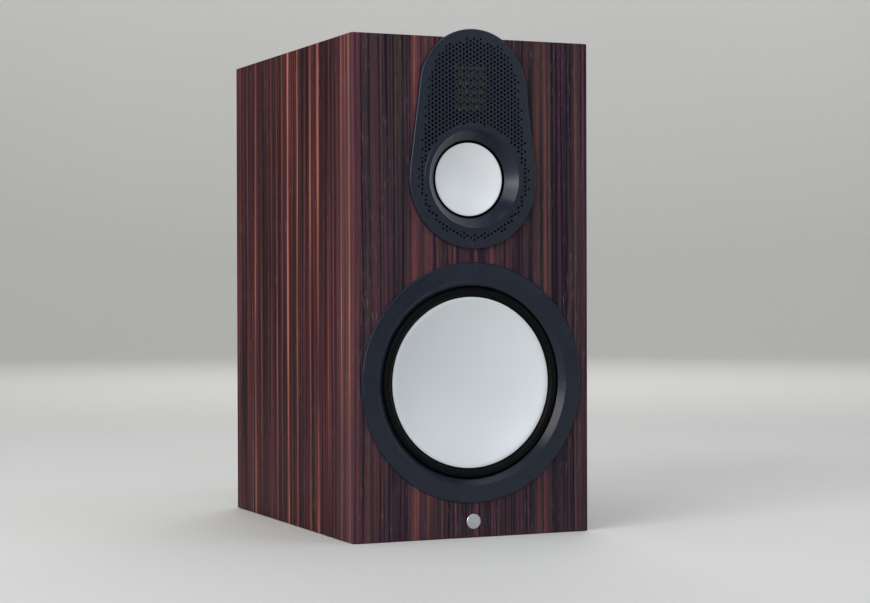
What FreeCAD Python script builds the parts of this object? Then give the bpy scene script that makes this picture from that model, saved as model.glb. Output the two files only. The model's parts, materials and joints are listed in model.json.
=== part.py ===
"""A three-way bookshelf loudspeaker, as an assembly of separate pieces.

Millimetres. The origin is the centre of the cabinet's underside, +Z is up and the drivers face -Y.
Every driver, and everything on the baffle or the rear panel, is drawn in its own station: a local frame
whose Z axis runs along the row's +Y, whose X axis is the row's X, and whose Y axis points down.
So a depth is a plain local Z, counted from the baffle's front plane or from the rear panel's outer plane.
"""

import FreeCAD, Part
import math
import os

import Sketcher
from FreeCAD import Placement, Rotation, Vector

# Driving dimensions: alias, value in millimetres (or a count), and what it is.
DIMENSIONS = [
    ("cabinet_width", 260, "outside width"),
    ("cabinet_depth", 360, "outside depth, baffle to rear panel"),
    ("cabinet_height", 500, "outside height"),
    ("wall", 18, "wrap and rear panel thickness"),
    ("baffle_wall", 25, "front baffle thickness"),
    ("edge_round", 1, "rounding of the wrap's corners"),
    ("front_round", 2.8, "rounding of the front's upright edges"),
    ("brace_height", 280, "underside of the shelf brace"),
    ("brace_wall", 12, "brace thickness"),
    ("brace_margin", 26, "brace width left round its windows"),
    ("stand_spacing_wide", 150, "stand inserts, across"),
    ("stand_spacing_deep", 220, "stand inserts, front to back"),
    ("insert_radius", 4.5, "stand insert, outside"),
    ("insert_bore", 2.6, "stand insert, inside"),
    ("insert_length", 14, "stand insert, length"),
    ("badge_radius", 7.5, "front badge"),
    ("badge_height", 16, "badge centre above the underside"),
    ("badge_proud", 0.8, "badge in front of the baffle"),
    ("badge_sunk", 1.2, "badge let into the baffle"),
    # woofer
    ("woofer_height", 155, "woofer axis above the underside"),
    ("woofer_trim", 120.5, "trim ring, outside radius"),
    ("woofer_trim_face", 103, "trim ring, inside radius of its face"),
    ("woofer_trim_lip", 97, "trim ring, inside radius at the bottom of its bevel"),
    ("woofer_trim_proud", 2.4, "trim ring in front of the baffle"),
    ("woofer_flange", 114, "basket flange radius"),
    ("woofer_hole", 106, "baffle opening radius"),
    ("woofer_rebate", 6, "depth of the flange's seat in the baffle"),
    ("woofer_cone_radius", 85.8, "cone rim radius"),
    ("woofer_cone_depth", 4.4, "cone rim behind the baffle plane"),
    ("woofer_cone_dish", 18, "depth of the cone's dish"),
    ("woofer_cone_wall", 0.8, "cone sheet thickness"),
    ("woofer_surround_inner", 82.9, "inner edge of the woofer surround, behind the cone's lip"),
    ("woofer_roll_start", 87, "woofer surround roll, inner radius"),
    ("woofer_roll_end", 96.3, "woofer surround roll, outer radius"),
    ("woofer_roll_arc", 4.85, "radius of the roll's front face"),
    ("woofer_surround_outer", 104, "outer edge of the woofer surround"),
    ("woofer_ledge", 5.3, "basket's ledge behind the surround"),
    ("rubber_wall", 0.8, "woofer surround thickness"),
    ("woofer_coil_radius", 25.6, "voice coil former, mid radius"),
    ("woofer_motor_depth", 62, "front of the woofer's top plate"),
    ("woofer_plate_wall", 8, "woofer top plate and yoke thickness"),
    ("woofer_magnet_wall", 20, "woofer magnet thickness"),
    ("woofer_magnet_radius", 60, "woofer magnet radius"),
    ("woofer_spider_radius", 70, "woofer spider, outside"),
    ("woofer_spider_depth", 45.4, "woofer spider behind the baffle plane"),
    ("woofer_bolt_hole", 2.6, "screw holes in the woofer's flange"),
    ("woofer_bolt_circle", 109.6, "radius of the woofer screw circle"),
    ("woofer_bolts", 8, "woofer screws"),
    ("woofer_arms", 6, "arms of the woofer basket"),
    # midrange and tweeter, on one housing
    ("mid_height", 359, "midrange axis above the underside"),
    ("tweeter_rise", 91.5, "tweeter centre above the midrange axis"),
    ("array_low_radius", 70, "plate outline round the midrange"),
    ("array_high_radius", 58.3, "plate outline round the tweeter"),
    ("array_proud", 4, "plate in front of the baffle"),
    ("array_skin", 1.5, "thickness of the perforated skin"),
    ("array_edge", 1.6, "rounding of the plate's edge"),
    ("array_rim", 4, "solid rim behind the plate's edge"),
    ("array_rebate", 8.6, "depth of the housing's seat in the baffle"),
    ("array_gasket", 0.6, "gasket behind the housing"),
    ("array_seat", 1.2, "plate overlap past the housing's seat"),
    ("hole_pitch", 4.36, "perforation pitch"),
    ("hole_large", 1.4, "radius of the inner perforations"),
    ("hole_small", 1.15, "radius of the outermost perforations"),
    ("hole_margin", 8.6, "outermost perforations to the plate's edge"),
    ("hole_clear", 1.1, "innermost perforations past the waveguide's flange"),
    ("ring_radius", 54.4, "flange of the midrange waveguide"),
    ("throat_radius", 49.3, "mouth of the midrange waveguide"),
    ("throat_inner", 39.3, "throat of the midrange waveguide"),
    ("throat_depth", 8.5, "depth of the waveguide's throat"),
    ("mid_cone_radius", 36.8, "midrange cone rim"),
    ("mid_cone_depth", 9.4, "midrange cone rim behind the baffle plane"),
    ("mid_cone_dish", 6, "depth of the midrange dish"),
    ("mid_cone_wall", 0.6, "midrange cone sheet"),
    ("mid_surround_inner", 35.4, "inner edge of the midrange surround"),
    ("mid_roll_start", 37.6, "midrange surround roll, inner radius"),
    ("mid_roll_end", 42.2, "midrange surround roll, outer radius"),
    ("mid_surround_outer", 45.4, "outer edge of the midrange surround"),
    ("mid_coil_radius", 12.5, "midrange former, mid radius"),
    ("mid_motor_depth", 30, "front of the midrange top plate"),
    ("mid_flange", 56, "midrange basket flange"),
    ("mid_seat", 12, "midrange basket's flange behind the baffle plane"),
    ("mid_magnet_radius", 27.2, "midrange top plate and magnet radius"),
    ("mid_spider_radius", 31, "midrange spider, outside"),
    ("mid_spider_depth", 20.4, "midrange spider behind the baffle plane"),
    ("mid_bolt_circle", 53.2, "radius of the midrange screw circle"),
    ("chamber_radius", 49, "midrange back chamber"),
    ("chamber_depth", 84, "midrange back chamber's far end"),
    ("tweeter_width", 36, "tweeter opening, across"),
    ("tweeter_tall", 46, "tweeter opening, up"),
    ("tweeter_depth", 0.6, "front of the tweeter's pole grid"),
    ("tweeter_bars", 6, "openings in the pole grid"),
    ("tweeter_cup_wide", 45, "tweeter rear cup, across"),
    ("tweeter_cup_tall", 54, "tweeter rear cup, up"),
    ("tweeter_flange", 2.6, "thickness of the tweeter's mounting flange"),
    ("tweeter_bolt_x", 25.6, "tweeter screws to either side of its centre"),
    # back
    ("port_height", 392, "port axis above the underside"),
    ("port_bore", 30, "port bore radius"),
    ("port_length", 120, "port tube inside the rear panel's outer plane"),
    ("port_flange", 47, "port flange radius"),
    ("post_hole", 13, "clearance hole behind each binding post"),
    ("terminal_height", 112, "terminal plate centre above the underside"),
    ("terminal_wide", 120, "terminal plate width"),
    ("terminal_tall", 72, "terminal plate height"),
    ("terminal_wall", 4, "terminal plate thickness"),
    ("post_spacing", 44, "between the two binding posts"),
    ("post_radius", 3, "binding post stud"),
    ("post_reach", 27, "stud end past the rear panel"),
    ("plug_bore", 2, "plug socket radius"),
    ("plug_depth", 20, "plug socket depth"),
    ("knob_back", 11.4, "knob's inner end past the rear panel when it is clamped"),
    ("knob_radius", 9, "binding post knob"),
    ("knob_length", 16, "binding post knob length"),
    # inside
    ("board_wide", 120, "crossover board, across"),
    ("board_deep", 160, "crossover board, front to back"),
    ("board_middle", 20, "crossover board's centre behind the cabinet's"),
    ("board_height", 26, "underside of the crossover board"),
    ("board_wall", 1.6, "crossover board thickness"),
    ("lead_radius", 1.5, "internal lead"),
    ("braid_radius", 0.8, "braided lead of the woofer's coil"),
    ("wadding_wide", 190, "wadding, across"),
    ("wadding_deep", 100, "wadding, front to back"),
    ("wadding_tall", 115, "wadding, up"),
    ("wadding_middle", 82, "wadding's centre behind the cabinet's"),
    ("wadding_height", 150, "underside of the wadding"),
    ("wadding_round", 12, "rounding of the wadding's edges"),
]


def driving_sheet(document):
    """Every driving dimension, one row each, named by its alias."""
    table = document.addObject("Spreadsheet::Sheet", "dims")
    for row, (alias, value, meaning) in enumerate(DIMENSIONS, start=1):
        table.set(f"A{row}", meaning)
        table.set(f"B{row}", str(value))
        table.setAlias(f"B{row}", alias)
    document.recompute()
    return table


doc = FreeCAD.newDocument("loudspeaker")
sheet = driving_sheet(doc)


def value(expression):
    """The number that a spreadsheet expression comes to."""
    return float(sheet.evalExpression(expression))


# Stations: expressions for a local frame's origin. The cabinet's own frame isn't turned.
CABINET = None
BAFFLE = ("0", "-dims.cabinet_depth / 2", "0")
WOOFER = ("0", "-dims.cabinet_depth / 2", "dims.woofer_height")
MIDRANGE = ("0", "-dims.cabinet_depth / 2", "dims.mid_height")
TWEETER = ("0", "-dims.cabinet_depth / 2", "dims.mid_height + dims.tweeter_rise")
BADGE = ("0", "-dims.cabinet_depth / 2", "dims.badge_height")
PORT = ("0", "dims.cabinet_depth / 2", "dims.port_height")
TERMINALS = ("0", "dims.cabinet_depth / 2", "dims.terminal_height")
POSTS = {
    "positive": ("dims.post_spacing / 2", "dims.cabinet_depth / 2", "dims.terminal_height"),
    "negative": ("-dims.post_spacing / 2", "dims.cabinet_depth / 2", "dims.terminal_height"),
}
LOCAL_TO_ROW = Rotation(Vector(1, 0, 0), -90)


def station_placement(station):
    if station is CABINET:
        return Placement()
    return Placement(Vector(*(value(term) for term in station)), LOCAL_TO_ROW)


def put(thing, station):
    """Places a sub-part at its station, bound to the sheet."""
    thing.Placement = station_placement(station)
    if station is not CABINET:
        for axis, term in zip("xyz", station):
            thing.setExpression(f"Placement.Base.{axis}", term)


def new_body(label, station=CABINET):
    body = doc.addObject("PartDesign::Body", label)
    body.Label = label
    body.AllowCompound = True
    put(body, station)
    return body


def new_sketch(body, plane="XY_Plane", level="0", centre=("0", "0")):
    """A sketch on one of the body's own planes, at a level along its normal, about a centre in the plane."""
    sketch = body.newObject("Sketcher::SketchObject", "sketch")
    support = next(f for f in body.Origin.OriginFeatures if f.Role == plane)
    sketch.AttachmentSupport = [(support, "")]
    sketch.MapMode = "FlatFace"
    for axis, term in zip("xyz", (*centre, level)):
        sketch.setExpression(f"AttachmentOffset.Base.{axis}", term)
    return sketch


def pin_point(sketch, edge, end, x, y):
    """Binds one end (or the centre) of a sketch edge to two expressions."""
    for kind, term in (("DistanceX", x), ("DistanceY", y)):
        index = sketch.addConstraint(Sketcher.Constraint(kind, -1, 1, edge, end, value(term)))
        sketch.setExpression(f"Constraints[{index}]", term)


def nearest_end(sketch, edge, point):
    """Which end of a sketch edge, 1 or 2, lies nearest a point."""
    return min((1, 2), key=lambda end: (sketch.getPoint(edge, end) - point).Length)


def bind_radius(sketch, edge, term):
    index = sketch.addConstraint(Sketcher.Constraint("Radius", edge, value(term)))
    sketch.setExpression(f"Constraints[{index}]", term)


def arc_between(start, end, radius):
    """An arc from start to end. A positive radius bulges to the right of the way from start to end."""
    chord = end - start
    half = chord.Length / 2
    size = max(abs(radius), half)
    right = Vector(chord.y, -chord.x, 0) / chord.Length * math.copysign(1, radius)
    rise = size - math.sqrt(size * size - half * half)
    return Part.Arc(start, (start + end) / 2 + right * rise, end)


def outline(sketch, corners):
    """A closed outline. A corner is (x, y), or (x, y, radius) where an arc runs on to the next corner."""
    points = [Vector(value(c[0]), value(c[1]), 0) for c in corners]
    first, count = sketch.GeometryCount, len(corners)
    start_ends = []
    for i, corner in enumerate(corners):
        start, end = points[i], points[(i + 1) % count]
        if len(corner) > 2:
            edge = sketch.addGeometry(arc_between(start, end, value(corner[2])), False)
        else:
            edge = sketch.addGeometry(Part.LineSegment(start, end), False)
        start_ends.append(nearest_end(sketch, edge, start))
    for i in range(count):
        following = (i + 1) % count
        sketch.addConstraint(Sketcher.Constraint(
            "Coincident", first + i, 3 - start_ends[i], first + following, start_ends[following]))
    for i, corner in enumerate(corners):
        pin_point(sketch, first + i, start_ends[i], corner[0], corner[1])
        if len(corner) > 2:
            bind_radius(sketch, first + i, f"abs({corner[2]})")


def circle(sketch, radius, x="0", y="0"):
    edge = sketch.addGeometry(
        Part.Circle(Vector(value(x), value(y), 0), Vector(0, 0, 1), value(radius)), False)
    pin_point(sketch, edge, 3, x, y)
    bind_radius(sketch, edge, radius)


def rectangle(sketch, width, height, x="0", y="0"):
    left, right = f"{x} - ({width}) / 2", f"{x} + ({width}) / 2"
    low, high = f"{y} - ({height}) / 2", f"{y} + ({height}) / 2"
    outline(sketch, [(left, low), (right, low), (right, high), (left, high)])


def egg(sketch, low_radius, high_radius):
    """A round end about the midrange and a smaller one about the tweeter, joined by tangents."""
    low, high, rise = value(low_radius), value(high_radius), value("dims.tweeter_rise")
    lean = math.asin((low - high) / rise)
    far = Vector(math.cos(lean), -math.sin(lean), 0)
    near = Vector(-far.x, far.y, 0)
    top = Vector(0, -rise, 0)
    first = sketch.GeometryCount
    sketch.addGeometry(Part.Arc(far * low, Vector(0, low, 0), near * low), False)
    sketch.addGeometry(Part.LineSegment(near * low, top + near * high), False)
    sketch.addGeometry(
        Part.Arc(top + near * high, top + Vector(0, -high, 0), top + far * high), False)
    sketch.addGeometry(Part.LineSegment(top + far * high, far * low), False)
    for edge in range(4):
        this, following = first + edge, first + (edge + 1) % 4
        leaving = nearest_end(sketch, this, sketch_joint(sketch, this, following))
        arriving = nearest_end(sketch, following, sketch_joint(sketch, this, following))
        sketch.addConstraint(Sketcher.Constraint("Tangent", this, leaving, following, arriving))
    pin_point(sketch, first, 3, "0", "0")
    pin_point(sketch, first + 2, 3, "0", "-dims.tweeter_rise")
    bind_radius(sketch, first, low_radius)
    bind_radius(sketch, first + 2, high_radius)


def sketch_joint(sketch, one, other):
    """The point that two sketch edges share."""
    ends = [(sketch.getPoint(one, a), sketch.getPoint(other, b)) for a in (1, 2) for b in (1, 2)]
    return min(ends, key=lambda pair: (pair[0] - pair[1]).Length)[0]


def revolve(body, corners):
    """Turns a section, drawn as (radius, depth) corners, about the body's Z axis."""
    sketch = new_sketch(body, "XZ_Plane")
    outline(sketch, corners)
    turn = body.newObject("PartDesign::Revolution", "turn")
    turn.Profile = sketch
    turn.ReferenceAxis = (sketch, ["V_Axis"])
    turn.Angle = 360
    doc.recompute()
    return turn


def pad(body, sketch, length):
    feature = body.newObject("PartDesign::Pad", "pad")
    feature.Profile = sketch
    feature.setExpression("Length", length)
    doc.recompute()
    return feature


def cut(body, sketch, depth):
    """Cuts a sketch into the body along the sketch's normal, and stops if nothing was cut."""
    before = body.Shape.Volume
    pocket = body.newObject("PartDesign::Pocket", "cut")
    pocket.Profile = sketch
    pocket.Reversed = True
    pocket.setExpression("Length", depth)
    doc.recompute()
    if not body.Shape.Volume < before - 1e-6:
        raise RuntimeError(f"{body.Label}: a cut removed nothing")
    return pocket


def polar(body, features, count, axis=None):
    """Repeats features round the body's Z axis, or round the normal of a sketch."""
    pattern = body.newObject("PartDesign::PolarPattern", "repeat")
    pattern.Originals = features
    z_axis = next(f for f in body.Origin.OriginFeatures if f.Role == "Z_Axis")
    pattern.Axis = (axis, ["N_Axis"]) if axis else (z_axis, [""])
    pattern.Angle = 360
    pattern.setExpression("Occurrences", count)
    body.Tip = pattern
    doc.recompute()
    return pattern


def edges_where(feature, test):
    return [f"Edge{i}" for i, edge in enumerate(feature.Shape.Edges, 1) if test(edge)]


def fillet(body, base, edges, radius):
    rounding = body.newObject("PartDesign::Fillet", "rounding")
    rounding.Base = (base, edges)
    rounding.setExpression("Radius", radius)
    doc.recompute()
    return rounding


def chamfer(body, base, edges, size):
    bevel = body.newObject("PartDesign::Chamfer", "bevel")
    bevel.Base = (base, edges)
    bevel.setExpression("Size", size)
    doc.recompute()
    return bevel


def lies_at(edge, axis, level, slack=1e-4):
    """True if the whole edge lies at one level along an axis."""
    box = edge.BoundBox
    low, high = getattr(box, f"{axis}Min"), getattr(box, f"{axis}Max")
    return abs(low - level) < slack and abs(high - level) < slack


def shaped(label, shape, station=CABINET):
    """A sub-part whose shape is worked out in code. Its placement comes after its shape."""
    feature = doc.addObject("Part::Feature", label)
    feature.Label = label
    feature.Shape = shape
    put(feature, station)
    return feature


# ---------------------------------------------------------------- cabinet

ARRAY_SEAT_LOW = "dims.array_low_radius - dims.array_seat"
ARRAY_SEAT_HIGH = "dims.array_high_radius - dims.array_seat"
ARRAY_HOLE_LOW = "dims.mid_flange + 2"
ARRAY_HOLE_HIGH = "dims.array_high_radius - 18"
HOUSING_SCREWS = [
    ("-63.6", "-6"), ("63.6", "-6"), ("-41", "48.6"), ("41", "48.6"), ("-48.8", "-91"), ("48.8", "-91")]
SCREW_SHANK = "1.8"
PILOT = "1.85"
WOOFER_SHANK = "2.2"
WOOFER_PILOT = "2.25"


def front_baffle():
    """The baffle is drawn in plan, so that its upright front edges are round, and padded upwards."""
    body = new_body("front_baffle", BAFFLE)
    wide, corner, back = "dims.cabinet_width / 2", "dims.front_round", "dims.baffle_wall"
    sketch = new_sketch(body, "XZ_Plane")
    outline(sketch, [
        (f"-{wide}", corner, corner), (f"-{wide} + {corner}", "0"),
        (f"{wide} - {corner}", "0", corner), (wide, corner), (wide, back), (f"-{wide}", back)])
    slab = pad(body, sketch, "dims.cabinet_height")
    top, rear = -value("dims.cabinet_height"), value(back)
    ends = edges_where(slab, lambda e: not lies_at(e, "Z", rear) and (
        lies_at(e, "Y", 0) or lies_at(e, "Y", top)))
    fillet(body, slab, ends, "dims.edge_round")

    seat = new_sketch(body, centre=("0", "-dims.mid_height"))
    egg(seat, ARRAY_SEAT_LOW, ARRAY_SEAT_HIGH)
    cut(body, seat, "dims.array_rebate")
    opening = new_sketch(body, centre=("0", "-dims.mid_height"))
    egg(opening, ARRAY_HOLE_LOW, ARRAY_HOLE_HIGH)
    cut(body, opening, "dims.baffle_wall")
    pilots = new_sketch(body, centre=("0", "-dims.mid_height"))
    for x, y in HOUSING_SCREWS:
        circle(pilots, PILOT, x, y)
    cut(body, pilots, "22")

    for radius, depth in (("dims.woofer_flange + 0.5", "dims.woofer_rebate"),
                          ("dims.woofer_hole", "dims.baffle_wall")):
        round_cut = new_sketch(body, centre=("0", "-dims.woofer_height"))
        circle(round_cut, radius)
        cut(body, round_cut, depth)
    pilot = new_sketch(body, centre=("0", "-dims.woofer_height"))
    circle(pilot, WOOFER_PILOT, "dims.woofer_bolt_circle")
    drilled = cut(body, pilot, "dims.baffle_wall - 2")
    polar(body, [drilled], "dims.woofer_bolts", pilot)

    recess = new_sketch(body, centre=("0", "-dims.badge_height"))
    circle(recess, "dims.badge_radius + 0.05")
    cut(body, recess, "dims.badge_sunk")


def wrap_panel(label, across, up):
    """One mitred panel of the wrap. across and up turn (distance in from the corner) into local x and y
    for each end of the panel, so the same section serves all four sides."""
    body = new_body(label, BAFFLE)
    sketch = new_sketch(body, level="dims.baffle_wall")
    corner, tip = "dims.edge_round", "dims.edge_round * (1 - sqrt(0.5))"
    near = [("0", corner), (tip, tip), ("dims.wall", "dims.wall")]
    places = [(across(inward, along, 0), up(inward, along, 0)) for inward, along in near]
    places += [(across(inward, along, 1), up(inward, along, 1)) for inward, along in reversed(near)]
    radius = corner if runs_anticlockwise(places) else f"-{corner}"
    places[0] = (*places[0], radius)
    places[4] = (*places[4], radius)
    outline(sketch, places)
    panel = pad(body, sketch, "dims.cabinet_depth - dims.baffle_wall")
    return body, panel


def runs_anticlockwise(places):
    points = [(value(x), value(y)) for x, y in places]
    following = points[1:] + points[:1]
    return sum(a[0] * b[1] - b[0] * a[1] for a, b in zip(points, following)) > 0


def wrap():
    wide, high = "dims.cabinet_width / 2", "dims.cabinet_height"

    def side(sign):
        def across(inward, along, end):
            return f"{sign}({wide} - {inward})"

        def up(inward, along, end):
            return f"-({high} - {along})" if end else f"-{along}"
        return across, up

    def level(is_top):
        def across(inward, along, end):
            return f"{wide} - {along}" if end else f"-{wide} + {along}"

        def up(inward, along, end):
            return f"-({high} - {inward})" if is_top else f"-{inward}"
        return across, up

    rear = value("dims.cabinet_depth")
    for label, (across, up), axis, outer in (
            ("left_side_panel", side("-"), "X", f"-{wide}"),
            ("right_side_panel", side(""), "X", wide),
            ("top_panel", level(True), "Y", f"-{high}"),
            ("bottom_panel", level(False), "Y", "0")):
        body, panel = wrap_panel(label, across, up)
        back_edge = edges_where(
            panel, lambda e: lies_at(e, "Z", rear) and lies_at(e, axis, value(outer)))
        chamfer(body, panel, back_edge, "dims.edge_round * 0.6")
        if label == "bottom_panel":
            insert_holes(body)


def stand_places():
    for x in ("-dims.stand_spacing_wide / 2", "dims.stand_spacing_wide / 2"):
        for y in ("-dims.stand_spacing_deep / 2", "dims.stand_spacing_deep / 2"):
            yield x, y


def insert_holes(body):
    """Blind holes in the underside. The panel's local Y axis points down, so they run along its XZ plane's
    normal, which is -Y, up into the panel."""
    sketch = new_sketch(body, "XZ_Plane")
    for x, y in stand_places():
        circle(sketch, "dims.insert_radius", x, f"dims.cabinet_depth / 2 + {y}")
    cut(body, sketch, "dims.insert_length")


def stand_inserts():
    body = new_body("stand_inserts")
    sketch = new_sketch(body)
    for x, y in stand_places():
        circle(sketch, "dims.insert_radius - 0.05", x, y)
        circle(sketch, "dims.insert_bore", x, y)
    pad(body, sketch, "dims.insert_length")


def rear_panel():
    body = new_body("rear_panel", BAFFLE)
    inner_wide = "dims.cabinet_width - 2 * dims.wall"
    inner_high = "dims.cabinet_height - 2 * dims.wall"
    sketch = new_sketch(body, level="dims.cabinet_depth - dims.wall")
    rectangle(sketch, inner_wide, inner_high, y="-dims.cabinet_height / 2")
    pad(body, sketch, "dims.wall")
    inside = "dims.cabinet_depth - dims.wall"
    port = new_sketch(body, level=inside, centre=("0", "-dims.port_height"))
    circle(port, "dims.port_bore + 8.1")
    cut(body, port, "dims.wall")
    posts = new_sketch(body, level=inside, centre=("0", "-dims.terminal_height"))
    for x in ("-dims.post_spacing / 2", "dims.post_spacing / 2"):
        circle(posts, "dims.post_hole", x)
    cut(body, posts, "dims.wall")
    pilots = new_sketch(body, level="dims.cabinet_depth - 14", centre=("0", "-dims.terminal_height"))
    for x, y in terminal_screw_places():
        circle(pilots, "1.55", x, y)
    cut(body, pilots, "14")


def terminal_screw_places():
    for x in ("-(dims.terminal_wide / 2 - 7)", "dims.terminal_wide / 2 - 7"):
        for y in ("-(dims.terminal_tall / 2 - 7)", "dims.terminal_tall / 2 - 7"):
            yield x, y


def shelf_brace():
    body = new_body("shelf_brace")
    sketch = new_sketch(body, level="dims.brace_height")
    deep = "dims.cabinet_depth - dims.baffle_wall - dims.wall"
    middle = "(dims.baffle_wall - dims.wall) / 2"
    rectangle(sketch, "dims.cabinet_width - 2 * dims.wall", deep, y=middle)
    pad(body, sketch, "dims.brace_wall")
    window = "(dims.cabinet_width - 2 * dims.wall - 3 * dims.brace_margin) / 2"
    holes = new_sketch(body, level="dims.brace_height")
    for sign in ("-", ""):
        rectangle(holes, window, f"{deep} - 2 * dims.brace_margin - 20",
                  f"{sign}({window} + dims.brace_margin) / 2", middle)
    cut(body, holes, "dims.brace_wall")


def badge():
    body = new_body("badge", BADGE)
    rim, groove = "dims.badge_radius", "dims.badge_radius * 0.72"
    front = "-dims.badge_proud"
    revolve(body, [
        ("0", "dims.badge_sunk"), (rim, "dims.badge_sunk"), (rim, f"{front} + 0.3"),
        (f"{rim} - 0.3", front), (groove, front), (groove, f"{front} + 0.25"),
        (f"{groove} - 0.9", f"{front} + 0.25"), (f"{groove} - 0.9", front), ("0", front)])


# ---------------------------------------------------------------- woofer

def dish_profile(rim, depth, dish, wall, lip):
    """A shallow round dish of even thickness with a flat lip, as (radius, depth) corners with two arcs."""
    inner = f"({rim} - {lip})"
    ball = f"(({inner}) ^ 2 + ({dish}) ^ 2) / (2 * ({dish}))"
    return [
        ("0", f"{depth} + {dish}", f"-({ball})"), (inner, depth), (rim, depth),
        (rim, f"{depth} + {wall}"), (inner, f"{depth} + {wall}", f"{ball}"),
        ("0", f"{depth} + {dish} + {wall}")]


def dish_depth(radius, rim, depth, dish, wall, lip):
    """Depth of the dish's back at a radius."""
    inner = f"({rim} - {lip})"
    ball = f"(({inner}) ^ 2 + ({dish}) ^ 2) / (2 * ({dish}))"
    return f"{depth} + {wall} + {dish} - (({ball}) - sqrt(({ball}) ^ 2 - ({radius}) ^ 2))"


WOOFER_DISH = (
    "dims.woofer_cone_radius", "dims.woofer_cone_depth", "dims.woofer_cone_dish",
    "dims.woofer_cone_wall", "3")
MID_DISH = (
    "dims.mid_cone_radius", "dims.mid_cone_depth", "dims.mid_cone_dish", "dims.mid_cone_wall", "1.5")


def woofer_trim_ring():
    body = new_body("woofer_trim_ring", WOOFER)
    rim, face, lip, front = (
        "dims.woofer_trim", "dims.woofer_trim_face", "dims.woofer_trim_lip", "-dims.woofer_trim_proud")
    revolve(body, [
        (rim, "0"), (rim, f"{front} + 1.6", "-1.2"), (f"{rim} - 1.2", f"{front} + 0.4"),
        (f"{face} + 0.6", front, "-0.6"), (face, f"{front} + 0.6"),
        (lip, "3.4", "-0.6"), (f"{lip} + 0.4", "4.1"),
        (f"{lip} + 2.4", "4.1"), (f"{face} + 1", "0")])


def woofer_basket():
    body = new_body("woofer_basket", WOOFER)
    rim, motor = "dims.woofer_flange", "dims.woofer_motor_depth"
    spider_seat = "(dims.woofer_spider_depth + 0.6)"
    revolve(body, [
        (rim, "0.2"), (rim, "5.2"), ("105", "5.2"), ("105", "8.4"),
        ("92", f"{spider_seat} - 12"), ("72", f"{spider_seat} + 4"), ("64", f"{motor} - 3"),
        ("64", motor), ("32", motor), ("32", f"{motor} - 4"), ("58", f"{motor} - 5"),
        ("65", f"{spider_seat}"), ("72", spider_seat), ("88", f"{spider_seat} - 14"),
        ("97.5", "8"), ("94.5", "6.6"), ("94.5", "5.3"), ("104.4", "5.3"), ("104.4", "0.2")])
    window = new_sketch(body, level="9")
    gap = 360 / value("dims.woofer_arms")
    half = math.radians(gap / 2 - 9)
    inner, outer = "74", "110"
    rise, run = math.sin(half), math.cos(half)
    outline(window, [
        (f"{inner} * {run:.6f}", f"-{inner} * {rise:.6f}"),
        (f"{outer} * {run:.6f}", f"-{outer} * {rise:.6f}", outer),
        (f"{outer} * {run:.6f}", f"{outer} * {rise:.6f}"),
        (f"{inner} * {run:.6f}", f"{inner} * {rise:.6f}", f"-{inner}")])
    opened = cut(body, window, "36")
    polar(body, [opened], "dims.woofer_arms")
    bolt = new_sketch(body, level="0")
    circle(bolt, "dims.woofer_bolt_hole", "dims.woofer_bolt_circle")
    through = cut(body, bolt, "6")
    polar(body, [through], "dims.woofer_bolts")
    head = new_sketch(body, level="0")
    circle(head, "3.9", "dims.woofer_bolt_circle")
    sunk = cut(body, head, "3.5")
    polar(body, [sunk], "dims.woofer_bolts")


def woofer_gasket():
    body = new_body("woofer_gasket", WOOFER)
    revolve(body, [("106.2", "5.2"), ("113.8", "5.2"), ("113.8", "dims.woofer_rebate"),
                   ("106.2", "dims.woofer_rebate")])
    bolt = new_sketch(body, level="5")
    circle(bolt, "dims.woofer_bolt_hole", "dims.woofer_bolt_circle")
    polar(body, [cut(body, bolt, "2")], "dims.woofer_bolts")


def woofer_surround():
    """A half roll between the cone's rim and the basket's ledge."""
    body = new_body("woofer_surround", WOOFER)
    front = "dims.woofer_cone_depth + dims.woofer_cone_wall"
    ledge, wall = "dims.woofer_ledge", "dims.rubber_wall"
    inner, outer = "dims.woofer_surround_inner", "dims.woofer_surround_outer"
    start, end, bulge = "dims.woofer_roll_start", "dims.woofer_roll_end", "dims.woofer_roll_arc"
    revolve(body, [
        (inner, front), (start, front, bulge), (end, f"{ledge} - {wall}"),
        (outer, f"{ledge} - {wall}"), (outer, ledge),
        (f"{end} - 0.7", ledge, f"-({bulge} - {wall} - 0.03)"),
        (f"{start} + 0.65", f"{front} + {wall}"), (inner, f"{front} + {wall}")])


def woofer_cone():
    revolve(new_body("woofer_cone", WOOFER), dish_profile(*WOOFER_DISH))


def tube(label, station, inner, outer, front, back):
    body = new_body(label, station)
    revolve(body, [(inner, front), (outer, front), (outer, back), (inner, back)])
    return body


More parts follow.
